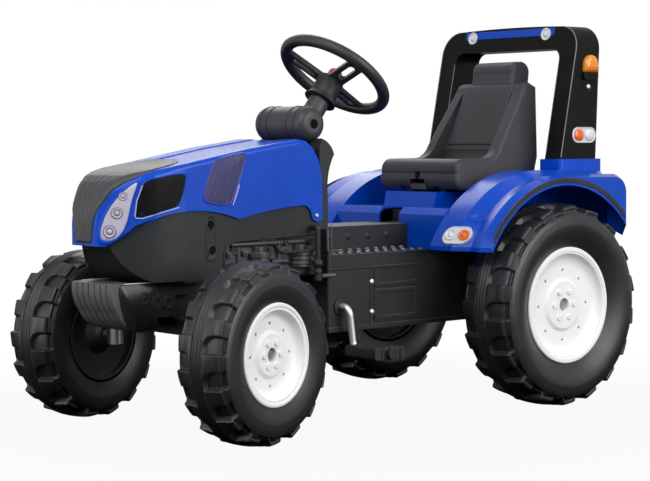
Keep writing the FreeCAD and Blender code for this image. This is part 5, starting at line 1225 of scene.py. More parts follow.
@dataclass
class Chassis:
    """Moulded detail of the chassis: riveted column, beads, coupling bar, bumps and lips of the steps."""

    bump_rows: Tuple[Tuple[float, float, float, float, int], ...] = (
        (0.1060, 0.2960, -0.068, 0.0222, 10), (0.0860, 0.2995, -0.070, 0.0213, 9),
    )
    bump_size: float = 0.0058
    bump_axis: Point = (0.30, -0.10, 0.95)
    coupling: Triples = ((0.1105, -0.116, 0.2594), (0.1105, -0.100, 0.2594), (0.1115, -0.086, 0.2594))
    coupling_radius: float = 0.0036
    column_y: float = 0.0015
    column_span: Tuple[float, float] = (0.160, 0.267)
    column_sunk: float = 0.0006
    column_radius: float = 0.0034
    rail_span: Tuple[float, float] = (-0.098, 0.112)
    rail_up: float = 0.2690
    rail_sunk: float = 0.0002
    rail_radius: float = 0.0019
    rivet_heights: Tuple[float, ...] = (0.2428, 0.1880)
    rivet_behind: float = 0.0015
    rivet_proud: float = 0.0016
    rivet_size: float = 0.0052
    lip: Triples = (
        (0.1075, -0.0985, 0.342), (0.1075, -0.0985, 0.318), (0.1075, -0.0982, 0.304),
        (0.1075, -0.0955, 0.2985), (0.1075, -0.089, 0.2965), (0.1075, -0.078, 0.2962),
    )
    lip_radius: float = 0.0020
    inner_lip: Point = (0.0, 0.0085, 0.0065)
    inner_radius: float = 0.0014
    web_inner: float = 0.0880
    web_corner: Tuple[float, float] = (-0.0998, 0.2952)
    web_wide: float = 0.0195
    web_high: float = 0.0468
    web_thick: float = 0.002

    def build(self, looks: Looks) -> None:
        """Makes the detail on both sides.

        Args:
            looks: Materials by name.
        """
        shell = Surface("chassis_shell")
        beads, rivets, bumps, lips = Skin(), Skin(), Skin(), Skin()
        for side in Side:
            self._bumps(side, bumps)
            self._column(side, shell.beside(side), beads, rivets)
            self._lips(side, lips)
            self._web(side, beads)
        beads.piece("chassis_beads", looks["body_black"], "frame", "body_black")
        bumps.piece("step_bumps", looks["bump_black"], "frame", "body_black")
        # The lips' pale grey is a painted highlight along the beads.
        lips.piece("step_lips", looks["lip_highlight_grey"], "frame", "body_black")
        rivets.piece("chassis_rivets", looks["crank_chrome"], "frame", "body_black")

    def _bumps(self, side: Side, bumps: Skin) -> None:
        """Two rows of domes on a step.

        Args:
            side: Side of the step.
            bumps: Skin that takes the domes.
        """
        axis = tuple(mirrored([self.bump_axis], side)[0])
        for across, up, first, pitch, count in self.bump_rows:
            for step in range(count):
                middle = (side.value * across, first + pitch * step, up)
                bumps.turned(scaled(DOME, self.bump_size), middle, axis)

    def _column(self, side: Side, place: Placer, beads: Skin, rivets: Skin) -> None:
        """Side column with its rivets, and the rail above it.

        Args:
            side: Side of the chassis.
            place: Way of laying points on that side.
            beads: Skin that takes the column and the rail.
            rivets: Skin that takes the rivets.
        """
        column = [(self.column_y, up) for up in np.linspace(*self.column_span, 12)]
        beads.tube(place(np.array(column), -self.column_sunk), self.column_radius, 12)
        rail = [(along, self.rail_up) for along in np.linspace(*self.rail_span, 22)]
        beads.tube(place(np.array(rail), -self.rail_sunk), self.rail_radius, 10)
        for up in self.rivet_heights:
            flat = np.array([(self.column_y + self.rivet_behind, up)])
            spot = tuple(place(flat, self.rivet_proud)[0])
            rivets.turned(scaled(DOME, self.rivet_size), spot, side.out)

    def _lips(self, side: Side, lips: Skin) -> None:
        """Coupling bar and the two lips at the front of a step, in a pale grey that on the lips is a painted
        highlight along the real beads.

        Args:
            side: Side of the step.
            lips: Skin that takes them.
        """
        lips.tube(mirrored(self.coupling, side), self.coupling_radius, 12)
        lip = mirrored(self.lip, side)
        lips.tube(lip, self.lip_radius, 12)
        lips.tube(lip + self.inner_lip, self.inner_radius, 10)

    def _web(self, side: Side, beads: Skin) -> None:
        """Thin plate that closes a step towards the dash.

        Args:
            side: Side of the step.
            beads: Skin that takes the plate.
        """
        first = self.web_inner if side is Side.LEFT else -self.web_inner - self.web_wide
        low = np.array((first, *self.web_corner))
        front = np.array([[low + (wide, 0.0, up) for wide in (0.0, self.web_wide)]
                          for up in (0.0, self.web_high)])
        rear = front + (0.0, self.web_thick, 0.0)
        beads.grid(front)
        beads.grid(rear, flip=True)
        beads.grid(np.array([front[1], rear[1]]))


@dataclass
class RearBody:
    """Lamp plates and a small oval boss on the front faces of the fenders."""

    plate_middle: Tuple[float, float] = (0.2075, 0.3255)
    plate_half: Tuple[float, float] = (0.0262, 0.0155)
    plate_levels: Pairs = (
        (1.0, -0.0130), (1.0, 0.0008), (0.97, 0.0016), (0.91, 0.0016), (0.88, 0.0006), (0.0, 0.0006),
    )
    clear_shift: float = -0.0120
    amber_shift: float = 0.0125
    lens_size: float = 0.0108
    lens_proud: float = 0.0004
    boss: Tuple[float, float] = (0.2275, 0.3560)
    boss_half: Tuple[float, float] = (0.0165, 0.0065)
    boss_levels: Pairs = ((1.0, -0.0004), (0.95, 0.0014), (0.86, 0.0018), (0.74, 0.0006), (0.0, 0.0006))
    fit_shares: Tuple[float, ...] = (1.0, 0.8, 0.6, 0.4, 0.2)

    def flat_place(self, fender: Surface, outline: np.ndarray) -> Placer:
        """Way of laying pairs of x and z on a flat face just in front of the fender.

        Args:
            fender: Surface of the rear body.
            outline: Outline that the face must clear.

        Returns:
            The placer, with heights measured out of the face.
        """
        middle = outline.mean(axis=0)
        spread = np.concatenate([middle + share * (outline - middle) for share in self.fit_shares])
        laid = fender.facing()(spread, 0.0)
        sums = np.column_stack([laid[:, 0], laid[:, 2], np.ones(len(laid))])
        fit = np.linalg.lstsq(sums, laid[:, 1], rcond=None)[0]
        ahead = float(np.max(sums @ fit - laid[:, 1]))
        out = np.array((fit[0], -1.0, fit[1]))
        out /= np.linalg.norm(out)

        def place(flat: np.ndarray, height: float) -> np.ndarray:
            """Lays the points."""
            along = fit[0] * flat[:, 0] + fit[1] * flat[:, 1] + fit[2] - ahead
            return np.column_stack([flat[:, 0], along, flat[:, 1]]) + height * out

        return place

    def build(self, looks: Looks) -> None:
        """Makes both lamp plates with a clear and an amber lens each, and the bosses.

        Args:
            looks: Materials by name.
        """
        fender = Surface("rear_body")
        plates, clear, amber, bosses = Skin(), Skin(), Skin(), Skin()
        across, up = self.plate_middle
        for side in Side:
            outline = stadium((side.value * across, up), *self.plate_half)
            place = self.flat_place(fender, outline)
            plates.ringed(outline, self.plate_levels, place)
            for skin, shift in ((clear, self.clear_shift), (amber, self.amber_shift)):
                flat = np.array([(side.value * (across + shift), up)])
                foot = place(flat, self.lens_proud)[0]
                axis = place(flat, self.lens_proud + 1.0)[0] - foot
                skin.turned(scaled(LAMP_BOWL, self.lens_size), tuple(foot), tuple(axis))
            outline = stadium((side.value * self.boss[0], self.boss[1]), *self.boss_half)
            bosses.ringed(outline, self.boss_levels, fender.facing())
        plates.piece("fender_lamp_plates", looks["trim_white"], "frame", "trim_white", ["fender_lamps"])
        clear.piece("fender_clear_lenses", looks["lamp_silver"], "frame", "trim_white")
        amber.piece("fender_amber_lenses", looks["lens_amber"], "frame", "trim_white")
        bosses.piece("fender_bosses", looks["body_blue"], "frame", "body_blue")


@dataclass
class RollBar:
    """Trim of the roll bar: pale lines along the edges that are a painted highlight, round roof lamps, amber
    beacons, screws and two-colour side lamps.
    """

    outer_x: float = 0.1849
    inner_x: float = 0.1447
    foot_up: float = 0.464
    outer_top: float = 0.672
    inner_top: float = 0.654
    bend_middle: Tuple[float, float] = (0.1394, 0.674)
    bend_radius: float = 0.0455
    edge_sunk: float = 0.0002
    outer_edge: float = 0.0010
    inner_edge: float = 0.0008
    side_lamp: Tuple[float, float] = (0.4965, 0.5065)
    lamp_half: Tuple[float, float] = (0.0340, 0.0155)
    lamp_levels: Pairs = (
        (1.0, -0.0004), (1.0, 0.0014), (0.97, 0.0022), (0.90, 0.0022), (0.86, 0.0011), (0.0, 0.0011),
    )
    lens_shift: float = 0.0155
    lens_half: Tuple[float, float] = (0.0135, 0.0112)
    lens_levels: Pairs = (
        (1.0, 0.0010), (0.98, 0.0026), (0.86, 0.0038), (0.6, 0.0048), (0.3, 0.0053), (0.0, 0.0055),
    )
    beacon: Tuple[float, float] = (0.5125, 0.6288)
    base_half: float = 0.021
    base_span: Tuple[float, float] = (-0.0150, 0.001)
    base_levels: Pairs = ((1.0, -0.0004), (1.0, 0.0050), (0.95, 0.0062), (0.0, 0.0062))
    dome_half: float = 0.0195
    dome_straight: float = 0.0130
    dome_arch: float = 0.0212
    dome_levels: Pairs = (
        (1.0, -0.0004), (1.0, 0.0046), (0.95, 0.0072), (0.80, 0.0096), (0.5, 0.0112), (0.0, 0.0118),
    )
    bead_rises: Tuple[float, ...] = (0.0050, 0.0095)
    bead_half: float = 0.0165
    bead_proud: float = 0.0096
    bead_radius: float = 0.0013
    screw: Tuple[float, float] = (0.5090, 0.601)
    screw_half: Tuple[float, float] = (0.0125, 0.0085)
    screw_levels: Pairs = ((1.0, -0.0004), (0.98, 0.0010), (0.90, 0.0012), (0.82, 0.0003), (0.0, 0.0003))
    screw_proud: float = 0.0003
    screw_size: float = 0.0050
    roof_x: float = 0.101
    roof_search: Triples = ((-0.02, 0.0, 0.6), (0.02, 0.7, 0.9))
    roof_start: float = -0.5
    roof_size: float = 0.0125
    roof_axis: Point = (0.0, -1.0, 0.13)

    def build(self, looks: Looks) -> None:
        """Makes the trim of both posts and of the arch.

        Args:
            looks: Materials by name.
        """
        bar = Surface("roll_bar")
        packed = Surface("bar_lamps")
        bezels, silver, amber, base, screws, edges, beacons = (Skin() for _ in range(7))
        for side in Side:
            place = bar.beside(side)
            self._edge_highlights(side, bar.facing(), edges)
            self._side_lamp(side, place, bezels, amber, silver)
            self._beacon(side, place, base, beacons, amber)
            self._screw(side, place, base, screws)
            self._roof_lamp(side, bar, packed, silver)
        bezels.piece("bar_lamp_plates", looks["trim_white"], "frame", "trim_white", ["bar_lamps"])
        silver.piece("bar_clear_lenses", looks["lamp_silver"], "frame", "trim_white")
        amber.piece("bar_amber_lenses", looks["lens_amber"], "frame", "trim_white")
        beacons.piece("bar_beacons", looks["beacon_amber"], "frame", "trim_white")
        base.piece("bar_lamp_bases", looks["bar_black"], "frame", "bar_black")
        # The pale edge lines are a painted highlight on the post edges.
        edges.piece("bar_edge_highlights", looks["edge_highlight_grey"], "frame", "bar_black")
        screws.piece("bar_screws", looks["crank_chrome"], "frame", "bar_black")

    def _edge_highlights(self, side: Side, place: Placer, edges: Skin) -> None:
        """Pale lines along the outer and the inner edge of a post, a painted highlight on these edges.

        Args:
            side: Side of the post.
            place: Way of laying points from the front.
            edges: Skin that takes the lines.
        """
        across, up = self.bend_middle
        line = [(self.outer_x, rise) for rise in np.linspace(self.foot_up, self.outer_top, 16)]
        for turn in np.linspace(0.0, math.pi / 2, 13):
            line.append((across + self.bend_radius * math.cos(turn), up + self.bend_radius * math.sin(turn)))
        inner = [(self.inner_x, rise) for rise in np.linspace(self.foot_up, self.inner_top, 14)]
        for path, radius in ((line, self.outer_edge), (inner, self.inner_edge)):
            edges.tube(place(np.array(path) * (side.value, 1.0), -self.edge_sunk), radius, 8)

    def _side_lamp(self, side: Side, place: Placer, bezels: Skin, amber: Skin, silver: Skin) -> None:
        """Lamp plate on a post with an amber and a clear lens.

        Args:
            side: Side of the post.
            place: Way of laying points on that side.
            bezels: Skin that takes the plate.
            amber: Skin that takes the front lens.
            silver: Skin that takes the rear lens.
        """
        flip = side is Side.RIGHT
        along, up = self.side_lamp
        bezels.ringed(stadium((along, up), *self.lamp_half), self.lamp_levels, place, flip)
        for skin, shift in ((amber, -self.lens_shift), (silver, self.lens_shift)):
            skin.ringed(stadium((along + shift, up), *self.lens_half), self.lens_levels, place, flip)

    def _beacon(self, side: Side, place: Placer, base: Skin, beacons: Skin, amber: Skin) -> None:
        """Domed beacon with two beads on its black foot.

        Args:
            side: Side of the post.
            place: Way of laying points on that side.
            base: Skin that takes the foot.
            beacons: Skin that takes the dome.
            amber: Skin that takes the beads.
        """
        flip = side is Side.RIGHT
        along, up = self.beacon
        wide = self.base_half
        low, high = (up + rise for rise in self.base_span)
        foot = [(along - wide, low), (along + wide, low), (along + wide, high), (along - wide, high)]
        base.ringed(softened(foot, 0.12), self.base_levels, place, flip)
        wide, spring = self.dome_half, up + self.dome_straight
        dome = [(along - wide, up), (along + wide, up)]
        for turn in np.linspace(0.0, math.pi, 13):
            dome.append((along + wide * math.cos(turn), spring + self.dome_arch * math.sin(turn)))
        beacons.ringed(softened(dome, 0.1, 1), self.dome_levels, place, flip)
        for rise in self.bead_rises:
            parts = np.linspace(-self.bead_half, self.bead_half, 9)
            bead = np.array([(along + part, up + rise) for part in parts])
            amber.tube(place(bead, self.bead_proud), self.bead_radius, 8)

    def _screw(self, side: Side, place: Placer, base: Skin, screws: Skin) -> None:
        """Screw in an oval recess under the beacon.

        Args:
            side: Side of the post.
            place: Way of laying points on that side.
            base: Skin that takes the recess.
            screws: Skin that takes the screw.
        """
        recess = stadium(self.screw, *self.screw_half)
        base.ringed(recess, self.screw_levels, place, side is Side.RIGHT)
        spot = tuple(place(np.array([self.screw]), self.screw_proud)[0])
        screws.turned(scaled(DOME, self.screw_size), spot, side.out)

    def _roof_lamp(self, side: Side, bar: Surface, packed: Surface, silver: Skin) -> None:
        """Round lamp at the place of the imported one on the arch.

        Args:
            side: Side of the lamp.
            bar: Surface of the roll bar.
            packed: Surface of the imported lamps.
            silver: Skin that takes the lamp.
        """
        low, high = np.array(self.roof_search) + (side.value * self.roof_x, 0.0, 0.0)
        lamp = packed.middle(tuple(low), tuple(high))
        front = bar.onto(np.array((lamp[0], self.roof_start, lamp[2])), np.array((0.0, 1.0, 0.0)))
        silver.turned(scaled(LAMP_BOWL, self.roof_size), tuple(front), self.roof_axis)


@dataclass
class Seat:
    """Flat pad that fills the seat's back between its side bolsters."""

    low: float = 0.487
    lip: float = 0.5945
    high: float = 0.6085
    half_low: float = 0.0735
    half_high: float = 0.0650
    proud: float = 0.0034
    edge: float = 0.0045
    sink: float = 0.010
    border: float = 0.06
    rim_shares: Tuple[float, ...] = (0.0, 0.12, 0.35, 0.65)
    steps: int = 31

    def build(self, looks: Looks) -> None:
        """Makes the pad.

        Args:
            looks: Materials by name.
        """
        place = Surface("seat_shell").facing()
        levels = np.array((self.low, self.lip, self.high))
        depths = place(np.column_stack([np.zeros(3), levels]), self.proud)[:, 1]
        rim = np.array(self.rim_shares)
        inner = np.linspace(self.low + self.edge, self.high - self.edge, self.steps)
        ups = np.concatenate([self.low + self.edge * rim, inner, self.high - self.edge * rim[::-1]])
        inner = np.linspace(self.border - 1.0, 1.0 - self.border, self.steps)
        shares = np.concatenate([self.border * rim - 1.0, inner, 1.0 - self.border * rim[::-1]])
        half = np.interp(ups, (self.low, self.high), (self.half_low, self.half_high))[:, None]
        across = half * shares[None, :]
        tall = np.broadcast_to(ups[:, None], across.shape)
        inside = np.minimum(half - np.abs(across), np.minimum(tall - self.low, self.high - tall))
        round_off = 1.0 - np.sqrt(1.0 - (1.0 - np.clip(inside / self.edge, 0.0, 1.0)) ** 2)
        along = np.interp(tall, levels, depths) + self.sink * round_off
        skin = Skin()
        skin.grid(np.stack([across, along, tall], axis=-1))
        skin.piece("seat_back_pad", looks["seat_grey"], "seat", "seat_grey")


@dataclass
class Cowl:
    """Seam rings of the barrel under the steering wheel, and near-black discs at its ends that are painted
    shade for the end holes.
    """

    middle: Tuple[float, float] = (-0.097, 0.529)
    radius: float = 0.032
    half: float = 0.070
    seams: Tuple[float, ...] = (0.028, 0.048)
    seam_radius: float = 0.0013
    hole: Pairs = ((0.0085, 0.0), (0.0085, 0.0007), (0.0065, 0.0009), (0.0055, 0.0003), (0.0, 0.0003))

    def build(self, looks: Looks) -> None:
        """Makes the rings and the painted shade discs of the holes.

        Args:
            looks: Materials by name.
        """
        rings, holes = Skin(), Skin()
        along, up = self.middle
        turn = np.linspace(0.0, 2 * math.pi, 49)
        circle = np.column_stack([along + self.radius * np.sin(turn), up + self.radius * np.cos(turn)])
        for side in Side:
            for seam in self.seams:
                path = np.column_stack([np.full(len(turn), side.value * seam), circle])
                rings.tube(path, self.seam_radius, 8)
            holes.turned(self.hole, (side.value * self.half, along, up), side.out)
        rings.piece("cowl_rings", looks["body_black"], "frame", "body_black")
        holes.piece("cowl_end_holes", looks["hole_shade_dark"], "frame", "body_black")


@dataclass
class HornCap:
    """Raised red crown of the horn button, which shows above the hub."""

    foot: Point = (0.0, 0.0075, 0.6128)
    axis: Point = (0.0, 0.6101, 0.7923)
    profile: Pairs = (
        (0.0135, 0.0), (0.0134, 0.0120), (0.0126, 0.0155), (0.0106, 0.0178), (0.0065, 0.0192), (0.0, 0.0197),
    )

    def build(self, looks: Looks) -> None:
        """Makes the crown.

        Args:
            looks: Materials by name.
        """
        crown = Skin()
        crown.turned(self.profile, self.foot, self.axis)
        crown.piece("horn_crown", looks["horn_red"], "horn", "horn_red")


@dataclass
class WeightCarrier:
    """Cheek plates over the sides of the front weights, and a pale line along the carrier's top edge that is
    a painted highlight.
    """

    half: float = 0.0622
    thick: float = 0.0010
    crown: float = 0.0006
    sunk: float = 0.0030
    cheek: Pairs = (
        (-0.5120, 0.2625), (-0.5135, 0.2480), (-0.5080, 0.2200), (-0.4980, 0.1900), (-0.4800, 0.1830),
        (-0.4360, 0.1850), (-0.4360, 0.2625),
    )
    edge_up: float = 0.2640
    edge_span: Tuple[float, float] = (-0.505, -0.372)
    edge_radius: float = 0.0011

    def beside(self, side: Side) -> Placer:
        """Way of laying pairs of y and z on the inner face of a plate.

        Args:
            side: Side of the plate.

        Returns:
            The placer, with heights measured outwards.
        """

        def place(flat: np.ndarray, height: float) -> np.ndarray:
            """Lays the points."""
            across = np.full(len(flat), side.value * (self.half + height))
            return np.column_stack([across, flat[:, 0], flat[:, 1]])

        return place

    def build(self, looks: Looks) -> None:
        """Makes both plates and the pale lines along their tops, which are a painted highlight.

        Args:
            looks: Materials by name.
        """
        plates, edges = Skin(), Skin()
        top = self.thick + self.crown
        levels = [(1.0, -self.sunk), (1.0, self.thick), (0.98, top), (0.0, top)]
        edge = np.array([(along, self.edge_up) for along in np.linspace(*self.edge_span, 12)])
        for side in Side:
            place = self.beside(side)
            plates.ringed(softened(self.cheek, 0.1), levels, place, flip=side is Side.RIGHT)
            edges.tube(place(edge, self.thick), self.edge_radius, 8)
        plates.piece("carrier_cheeks", looks["trim_black"], "frame", "engine_grey")
        # trim_white here is a painted highlight along the carrier's top edge.
        edges.piece("carrier_edge_highlights", looks["trim_white"], "frame", "engine_grey")


FRONT_TYRE: Dict[str, float] = {
    "steer": 13.1, "radius": 0.152, "width": 0.103, "rim_radius": 0.086, "inset": 0.007, "lugs": 16,
}
REAR_TYRE: Dict[str, float] = {
    "steer": 0.0, "radius": 0.19, "width": 0.122, "rim_radius": 0.1088, "inset": 0.017, "lugs": 18,
}
WHEELS: List[Wheel] = [
    Wheel("front_left", "front_left_wheel", Side.LEFT, (0.2271, -0.3597, 0.152), **FRONT_TYRE),
    Wheel("front_right", "front_right_wheel", Side.RIGHT, (-0.2271, -0.3923, 0.152), **FRONT_TYRE),
    Wheel("rear_left", "rear_left_wheel", Side.LEFT, (0.245, 0.335, 0.19), **REAR_TYRE),
    Wheel("rear_right", "driven_axle", Side.RIGHT, (-0.245, 0.335, 0.19), **REAR_TYRE),
]


@dataclass
class Studio:
    """Pale floor with a backdrop, soft lamps and the camera."""

    floor_flat: Tuple[float, float] = (3.0, 6.0)
    floor_sweep: float = 3.0
    floor_wall: float = 7.0
    floor_steps: int = 12
    floor_around: int = 96
    paper: Colour = (0.95, 0.95, 0.95)
    glow_near: float = 0.94
    glow_span: Tuple[float, float] = (0.45, 1.15)
    sky: float = 0.55
    lamps: Tuple[Tuple[str, Point, float, float], ...] = (
        ("key_lamp", (1.6, -2.6, 2.9), 3.0, 70.0),
        ("side_lamp", (3.4, 0.9, 1.5), 2.6, 78.0),
        ("back_lamp", (-2.4, 1.6, 2.6), 2.6, 40.0),
        ("front_lamp", (-0.9, -3.4, 0.8), 2.0, 24.0),
    )
    lamp_aim: Point = (0.0, 0.0, 0.35)
    camera_at: Point = (2.5209, -2.1759, 0.5072)
    heading: float = 49.28
    dip: float = 3.31
    roll: float = -0.31
    focal_pixels: float = 1793.08
    centre: Tuple[float, float] = (327.68, 239.68)
    image: Tuple[int, int] = (650, 481)
    sensor: float = 36.0
    far: float = 60.0

    def build(self) -> None:
        """Makes the floor, the light and the camera."""
        self._floor()
        self._light()
        self._camera()

    def _floor(self) -> None:
        """Floor that sweeps up behind the tractor on every side."""
        near, edge = self.floor_flat
        sweep = self.floor_sweep
        profile = [(near, 0.0), (edge, 0.0)]
        for angle in np.radians(np.linspace(0.0, 90.0, self.floor_steps + 1)[1:]):
            profile.append((edge + sweep * math.sin(angle), sweep - sweep * math.cos(angle)))
        profile.append((edge + sweep, self.floor_wall))
        mesh = bmesh.new()
        loops = []
        for radius, height in profile:
            turns = np.linspace(0.0, 2 * math.pi, self.floor_around, endpoint=False)
            loops.append([mesh.verts.new((radius * math.cos(turn), radius * math.sin(turn), height))
                          for turn in turns])
        mesh.faces.new(loops[0])
        for low, high in zip(loops, loops[1:]):
            for spot in range(self.floor_around):
                after = (spot + 1) % self.floor_around
                mesh.faces.new((low[spot], low[after], high[after], high[spot]))
        data = bpy.data.meshes.new("studio_floor")
        mesh.to_mesh(data)
        mesh.free()
        data.shade_smooth()
        floor = bpy.data.objects.new("studio_floor", data)
        bpy.context.scene.collection.objects.link(floor)
        data.materials.append(self._paper())

    def _paper(self) -> bpy.types.Material:
        """White paper that the camera sees a little darker near the tractor.

        Returns:
            The material.
        """
        recipe = Recipe("studio_paper")
        paper = recipe.node("ShaderNodeBsdfDiffuse", None, {"Color": self.paper})
        glow = recipe.node("ShaderNodeEmission", None, {"Color": (1.0, 1.0, 1.0), "Strength": 1.0})
        seen = recipe.node("ShaderNodeLightPath", out="Is Camera Ray")
        across, along, _ = recipe.axes()
        far = (across * across + along * along).root().ramp(*self.glow_span)
        share = seen * (self.glow_near + (1.0 - self.glow_near) * far)
        recipe.node_output(recipe.node("ShaderNodeMixShader", None, {0: share, 1: paper, 2: glow}))
        return recipe.material

    def _light(self) -> None:
        """Even sky light with four large soft lamps."""
        scene = bpy.context.scene
        world = bpy.data.worlds.new("studio_sky")
        world.use_nodes = True
        sky = world.node_tree.nodes["Background"]
        sky.inputs["Color"].default_value = (1.0, 1.0, 1.0, 1.0)
        sky.inputs["Strength"].default_value = self.sky
        scene.world = world
        for name, place, size, power in self.lamps:
            lamp = bpy.data.lights.new(name, "AREA")
            lamp.shape = "DISK"
            lamp.size = size
            lamp.energy = power
            holder = bpy.data.objects.new(name, lamp)
            holder.location = place
            aim = Vector(self.lamp_aim) - Vector(place)
            holder.rotation_euler = aim.to_track_quat("-Z", "Y").to_euler()
            scene.collection.objects.link(holder)

    def _camera(self) -> None:
        """Camera at the photograph's place, angle and focal length."""
        turn, dip, roll = (math.radians(part) for part in (self.heading, self.dip, self.roll))
        ahead = Vector((-math.sin(turn) * math.cos(dip), math.cos(turn) * math.cos(dip), -math.sin(dip)))
        level = Vector((math.cos(turn), math.sin(turn), 0.0))
        above = level.cross(ahead)
        right = level * math.cos(roll) + above * math.sin(roll)
        up = above * math.cos(roll) - level * math.sin(roll)
        width, height = self.image
        data = bpy.data.cameras.new("photo_camera")
        data.sensor_fit = "HORIZONTAL"
        data.sensor_width = self.sensor
        data.lens = self.sensor * self.focal_pixels / width
        data.shift_x = (width / 2 - self.centre[0]) / width
        data.shift_y = (self.centre[1] - height / 2) / width
        data.clip_end = self.far
        camera = bpy.data.objects.new("photo_camera", data)
        pose = Matrix((right, up, -ahead)).transposed().to_4x4()
        pose.translation = Vector(self.camera_at)
        camera.matrix_world = pose
        bpy.context.scene.collection.objects.link(camera)
        bpy.context.scene.camera = camera
        bpy.context.scene.view_settings.view_transform = "Standard"


FINISHES: Dict[str, Union[Moulded, Metal]] = {
    "tyre_black": Moulded("tyre_plastic", shade(36, 38, 41), 0.36, 0.00004, 900.0, wear_and_highlight=0.2),
    "rim_white": Moulded("rim_plastic", shade(247, 247, 246), 0.34, 0.0, coat=0.15, blotch=0.015, wear_and_highlight=0.0),
    "core_black": Moulded("core_plastic", shade(30, 31, 33), 0.5),
    "body_blue": Moulded("gloss_blue", shade(0, 68, 184), 0.2, 0.0, ripple=0.0003, coat=0.06, blotch=0.05,
                         wear_and_highlight=0.10, wear_and_highlight_colour=shade(90, 130, 215), scuff=0.06, spec=0.24),
    "body_black": Moulded("grained_black", shade(35, 35, 38), 0.48, 0.00007, 1300.0, spec=0.38),
    "engine_grey": Moulded("engine_grey", shade(32, 35, 37), 0.46, 0.00004, 1500.0, spec=0.3),
    "bar_black": Moulded("bar_black", shade(11, 11, 12), 0.42, 0.00003, 1500.0, wear_and_highlight=0.08, spec=0.14),
    "seat_grey": Moulded("seat_grey", shade(54, 54, 59), 0.5, 0.00006, 1100.0, spec=0.4),
    "trim_black": Moulded("trim_black", shade(30, 30, 32), 0.3, 0.00002),
    "trim_white": Moulded("trim_white", shade(206, 208, 212), 0.2, 0.0, coat=0.4, blotch=0.05, wear_and_highlight=0.0),
    "wheel_black": Moulded("wheel_black", shade(42, 42, 45), 0.42, 0.00006, 1200.0),
    "horn_red": Moulded("horn_red", shade(196, 28, 30), 0.3, 0.0, wear_and_highlight=0.1),
    "frame_paint": Moulded("frame_paint", shade(24, 24, 26), 0.4, 0.00005, 700.0),
    "steel": Metal("zinc_steel", (0.55, 0.55, 0.53), 0.3),
    "crank_chrome": Metal("drawn_steel", (0.92, 0.92, 0.91), 0.42, (1.0, 1.0, 0.05)),
    "bearing_nylon": Moulded("bearing_nylon", shade(26, 26, 28), 0.5, 0.00003, wear_and_highlight=0.0),
    "pedal_grey": Moulded("pedal_grey", shade(34, 34, 36), 0.44, 0.00006),
}


DETAILS: Dict[str, Union[Moulded, Metal]] = {
    "grille_grey": Moulded("grille_grey", shade(58, 59, 63), 0.42, 0.00004, 1400.0),
    "lens_white": Moulded("lens_white", shade(184, 180, 198), 0.2, 0.0004, 620.0, coat=0.3, blotch=0.05,
                          wear_and_highlight=0.0),
    "lamp_silver": Moulded("lamp_silver", shade(214, 216, 220), 0.14, 0.0, coat=0.6, blotch=0.08, wear_and_highlight=0.0),
    "lens_amber": Moulded("lens_amber", shade(226, 98, 22), 0.16, 0.0, coat=0.6, blotch=0.08, wear_and_highlight=0.0),
    "vent_gloss": Moulded("vent_gloss", shade(12, 12, 14), 0.4, 0.0, wear_and_highlight=0.0, spec=0.1),
    "ring_grey": Moulded("ring_grey", shade(84, 79, 98), 0.3, 0.0, wear_and_highlight=0.0),
    # edge_highlight_pale: pale blue of the vent lines, a painted reflection along the vent edges.
    "edge_highlight_pale": Moulded("edge_highlight_pale", shade(158, 176, 228), 0.25, 0.0, wear_and_highlight=0.0),
    # edge_highlight_grey: grey of the roll bar's edge lines, a painted highlight.
    "edge_highlight_grey": Moulded("edge_highlight_grey", shade(124, 124, 128), 0.35, 0.0, wear_and_highlight=0.0),
    # lip_highlight_grey: pale grey of the step lips, a painted highlight along the beads; the coupling bar
    # shares it.
    "lip_highlight_grey": Moulded("lip_highlight_grey", shade(84, 84, 90), 0.3, 0.0, wear_and_highlight=0.2),
    "bump_black": Moulded("bump_black", shade(66, 66, 70), 0.22, 0.0, coat=0.3, wear_and_highlight=0.1),
    "weight_grey": Moulded("weight_grey", shade(88, 88, 92), 0.44, 0.00004, 1400.0),
    # relief_grey: its large share of light grey on the edges is a painted highlight on the pipes and bolts of
    # the reliefs.
    "relief_grey": Moulded("relief_grey", shade(48, 48, 51), 0.3, 0.00004, 1400.0, coat=0.2, wear_and_highlight=0.55,
                           wear_and_highlight_colour=shade(150, 150, 154)),
    "cowl_grey": Moulded("cowl_grey", shade(50, 50, 54), 0.42, 0.00006, 1200.0),
    "beacon_amber": Moulded("beacon_amber", shade(232, 140, 38), 0.16, 0.0, coat=0.5, blotch=0.08, wear_and_highlight=0.0),
    "mesh_violet": Moulded("mesh_violet", shade(34, 32, 98), 0.4, 0.0004, 420.0, blotch=0.2, wear_and_highlight=0.0),
    "mesh_lip": Moulded("mesh_lip", shade(48, 52, 158), 0.28, 0.0, coat=0.1, wear_and_highlight=0.0),
    # hole_shade_dark: near-black that paints the shade inside holes.
    "hole_shade_dark": Moulded("hole_shade_dark", shade(6, 6, 7), 0.7, 0.00004, wear_and_highlight=0.0, spec=0.1),
}


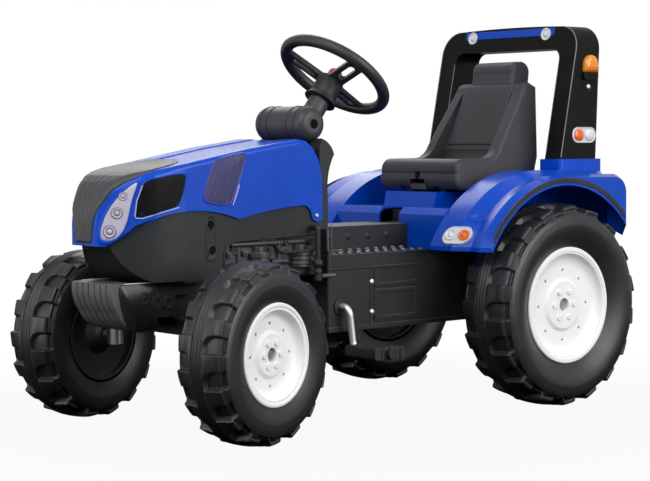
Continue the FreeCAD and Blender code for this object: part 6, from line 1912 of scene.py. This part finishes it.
SLOT_NODES: Dict[str, List[str]] = {
    "tyre_black": ["front_tyre_left", "front_tyre_right", "rear_tyre_left", "rear_tyre_right"],
    "rim_white": ["front_rim_left", "front_rim_right", "rear_rim_left", "rear_rim_right"],
    "core_black": ["front_wheel_core_left", "front_wheel_core_right", "rear_wheel_core_left",
                   "rear_wheel_core_right"],
    "body_blue": ["bonnet", "rear_body", "roof_strip"],
    "body_black": ["chassis_shell", "chassis_floor", "dash_panel", "dash_cowl", "couplings", "seat_rails"],
    "engine_grey": ["engine_body", "engine_reliefs", "front_weights", "weight_carrier"],
    "bar_black": ["roll_bar"],
    "seat_grey": ["seat_shell", "seat_latch"],
    "trim_black": ["nose_grille", "bonnet_vents", "fender_stripes"],
    "trim_white": ["headlights", "bar_lamps", "fender_lamps"],
    "wheel_black": ["steering_wheel"],
    "horn_red": ["horn_button"],
    "frame_paint": ["front_frame", "front_axle_beam", "tow_hitch"],
    "steel": ["steering_shaft", "knuckle_left", "knuckle_right", "steering_arm_left", "steering_arm_right",
              "tie_rod", "rear_axle", "axle_caps", "drive_pin", "axle_sprocket", "crank_sprocket",
              "drive_chain", "knuckle_nuts_left", "knuckle_nuts_right", "bonnet_studs"],
    "crank_chrome": ["crank_rod"],
    "bearing_nylon": ["bushes", "axle_spacers", "pedal_caps"],
    "pedal_grey": ["pedal_left", "pedal_right"],
}


NODE_LOOKS: Dict[str, str] = {
    "front_weights": "weight_grey", "dash_cowl": "cowl_grey", "engine_reliefs": "relief_grey",
}


def dress(node: str, material: bpy.types.Material) -> None:
    """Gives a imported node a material.

    Args:
        node: Name of the node.
        material: The material.
    """
    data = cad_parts[node].data
    data.materials.clear()
    data.materials.append(material)


def dress_nodes() -> Looks:
    """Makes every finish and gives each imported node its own.

    Returns:
        The materials by name.
    """
    looks = {slot: FINISHES[slot].make() for slot in SLOT_NODES}
    for slot, nodes in SLOT_NODES.items():
        for node in nodes:
            dress(node, looks[slot])
    looks.update((name, finish.make()) for name, finish in DETAILS.items())
    for node, look in NODE_LOOKS.items():
        dress(node, looks[look])
    return looks


def main() -> None:
    """Builds the scene, piece by piece."""
    logging.basicConfig(level=logging.INFO, format="%(name)s: %(message)s")
    looks = dress_nodes()
    for wheel in WHEELS:
        wheel.build(looks["tyre_black"])
    parts = (Bonnet(), EngineBody(), Chassis(), RearBody(), RollBar(), Seat(), Cowl(), HornCap(),
             WeightCarrier())
    for part in parts:
        part.build(looks)
    Studio().build()


if __name__ == "__main__":
    main()
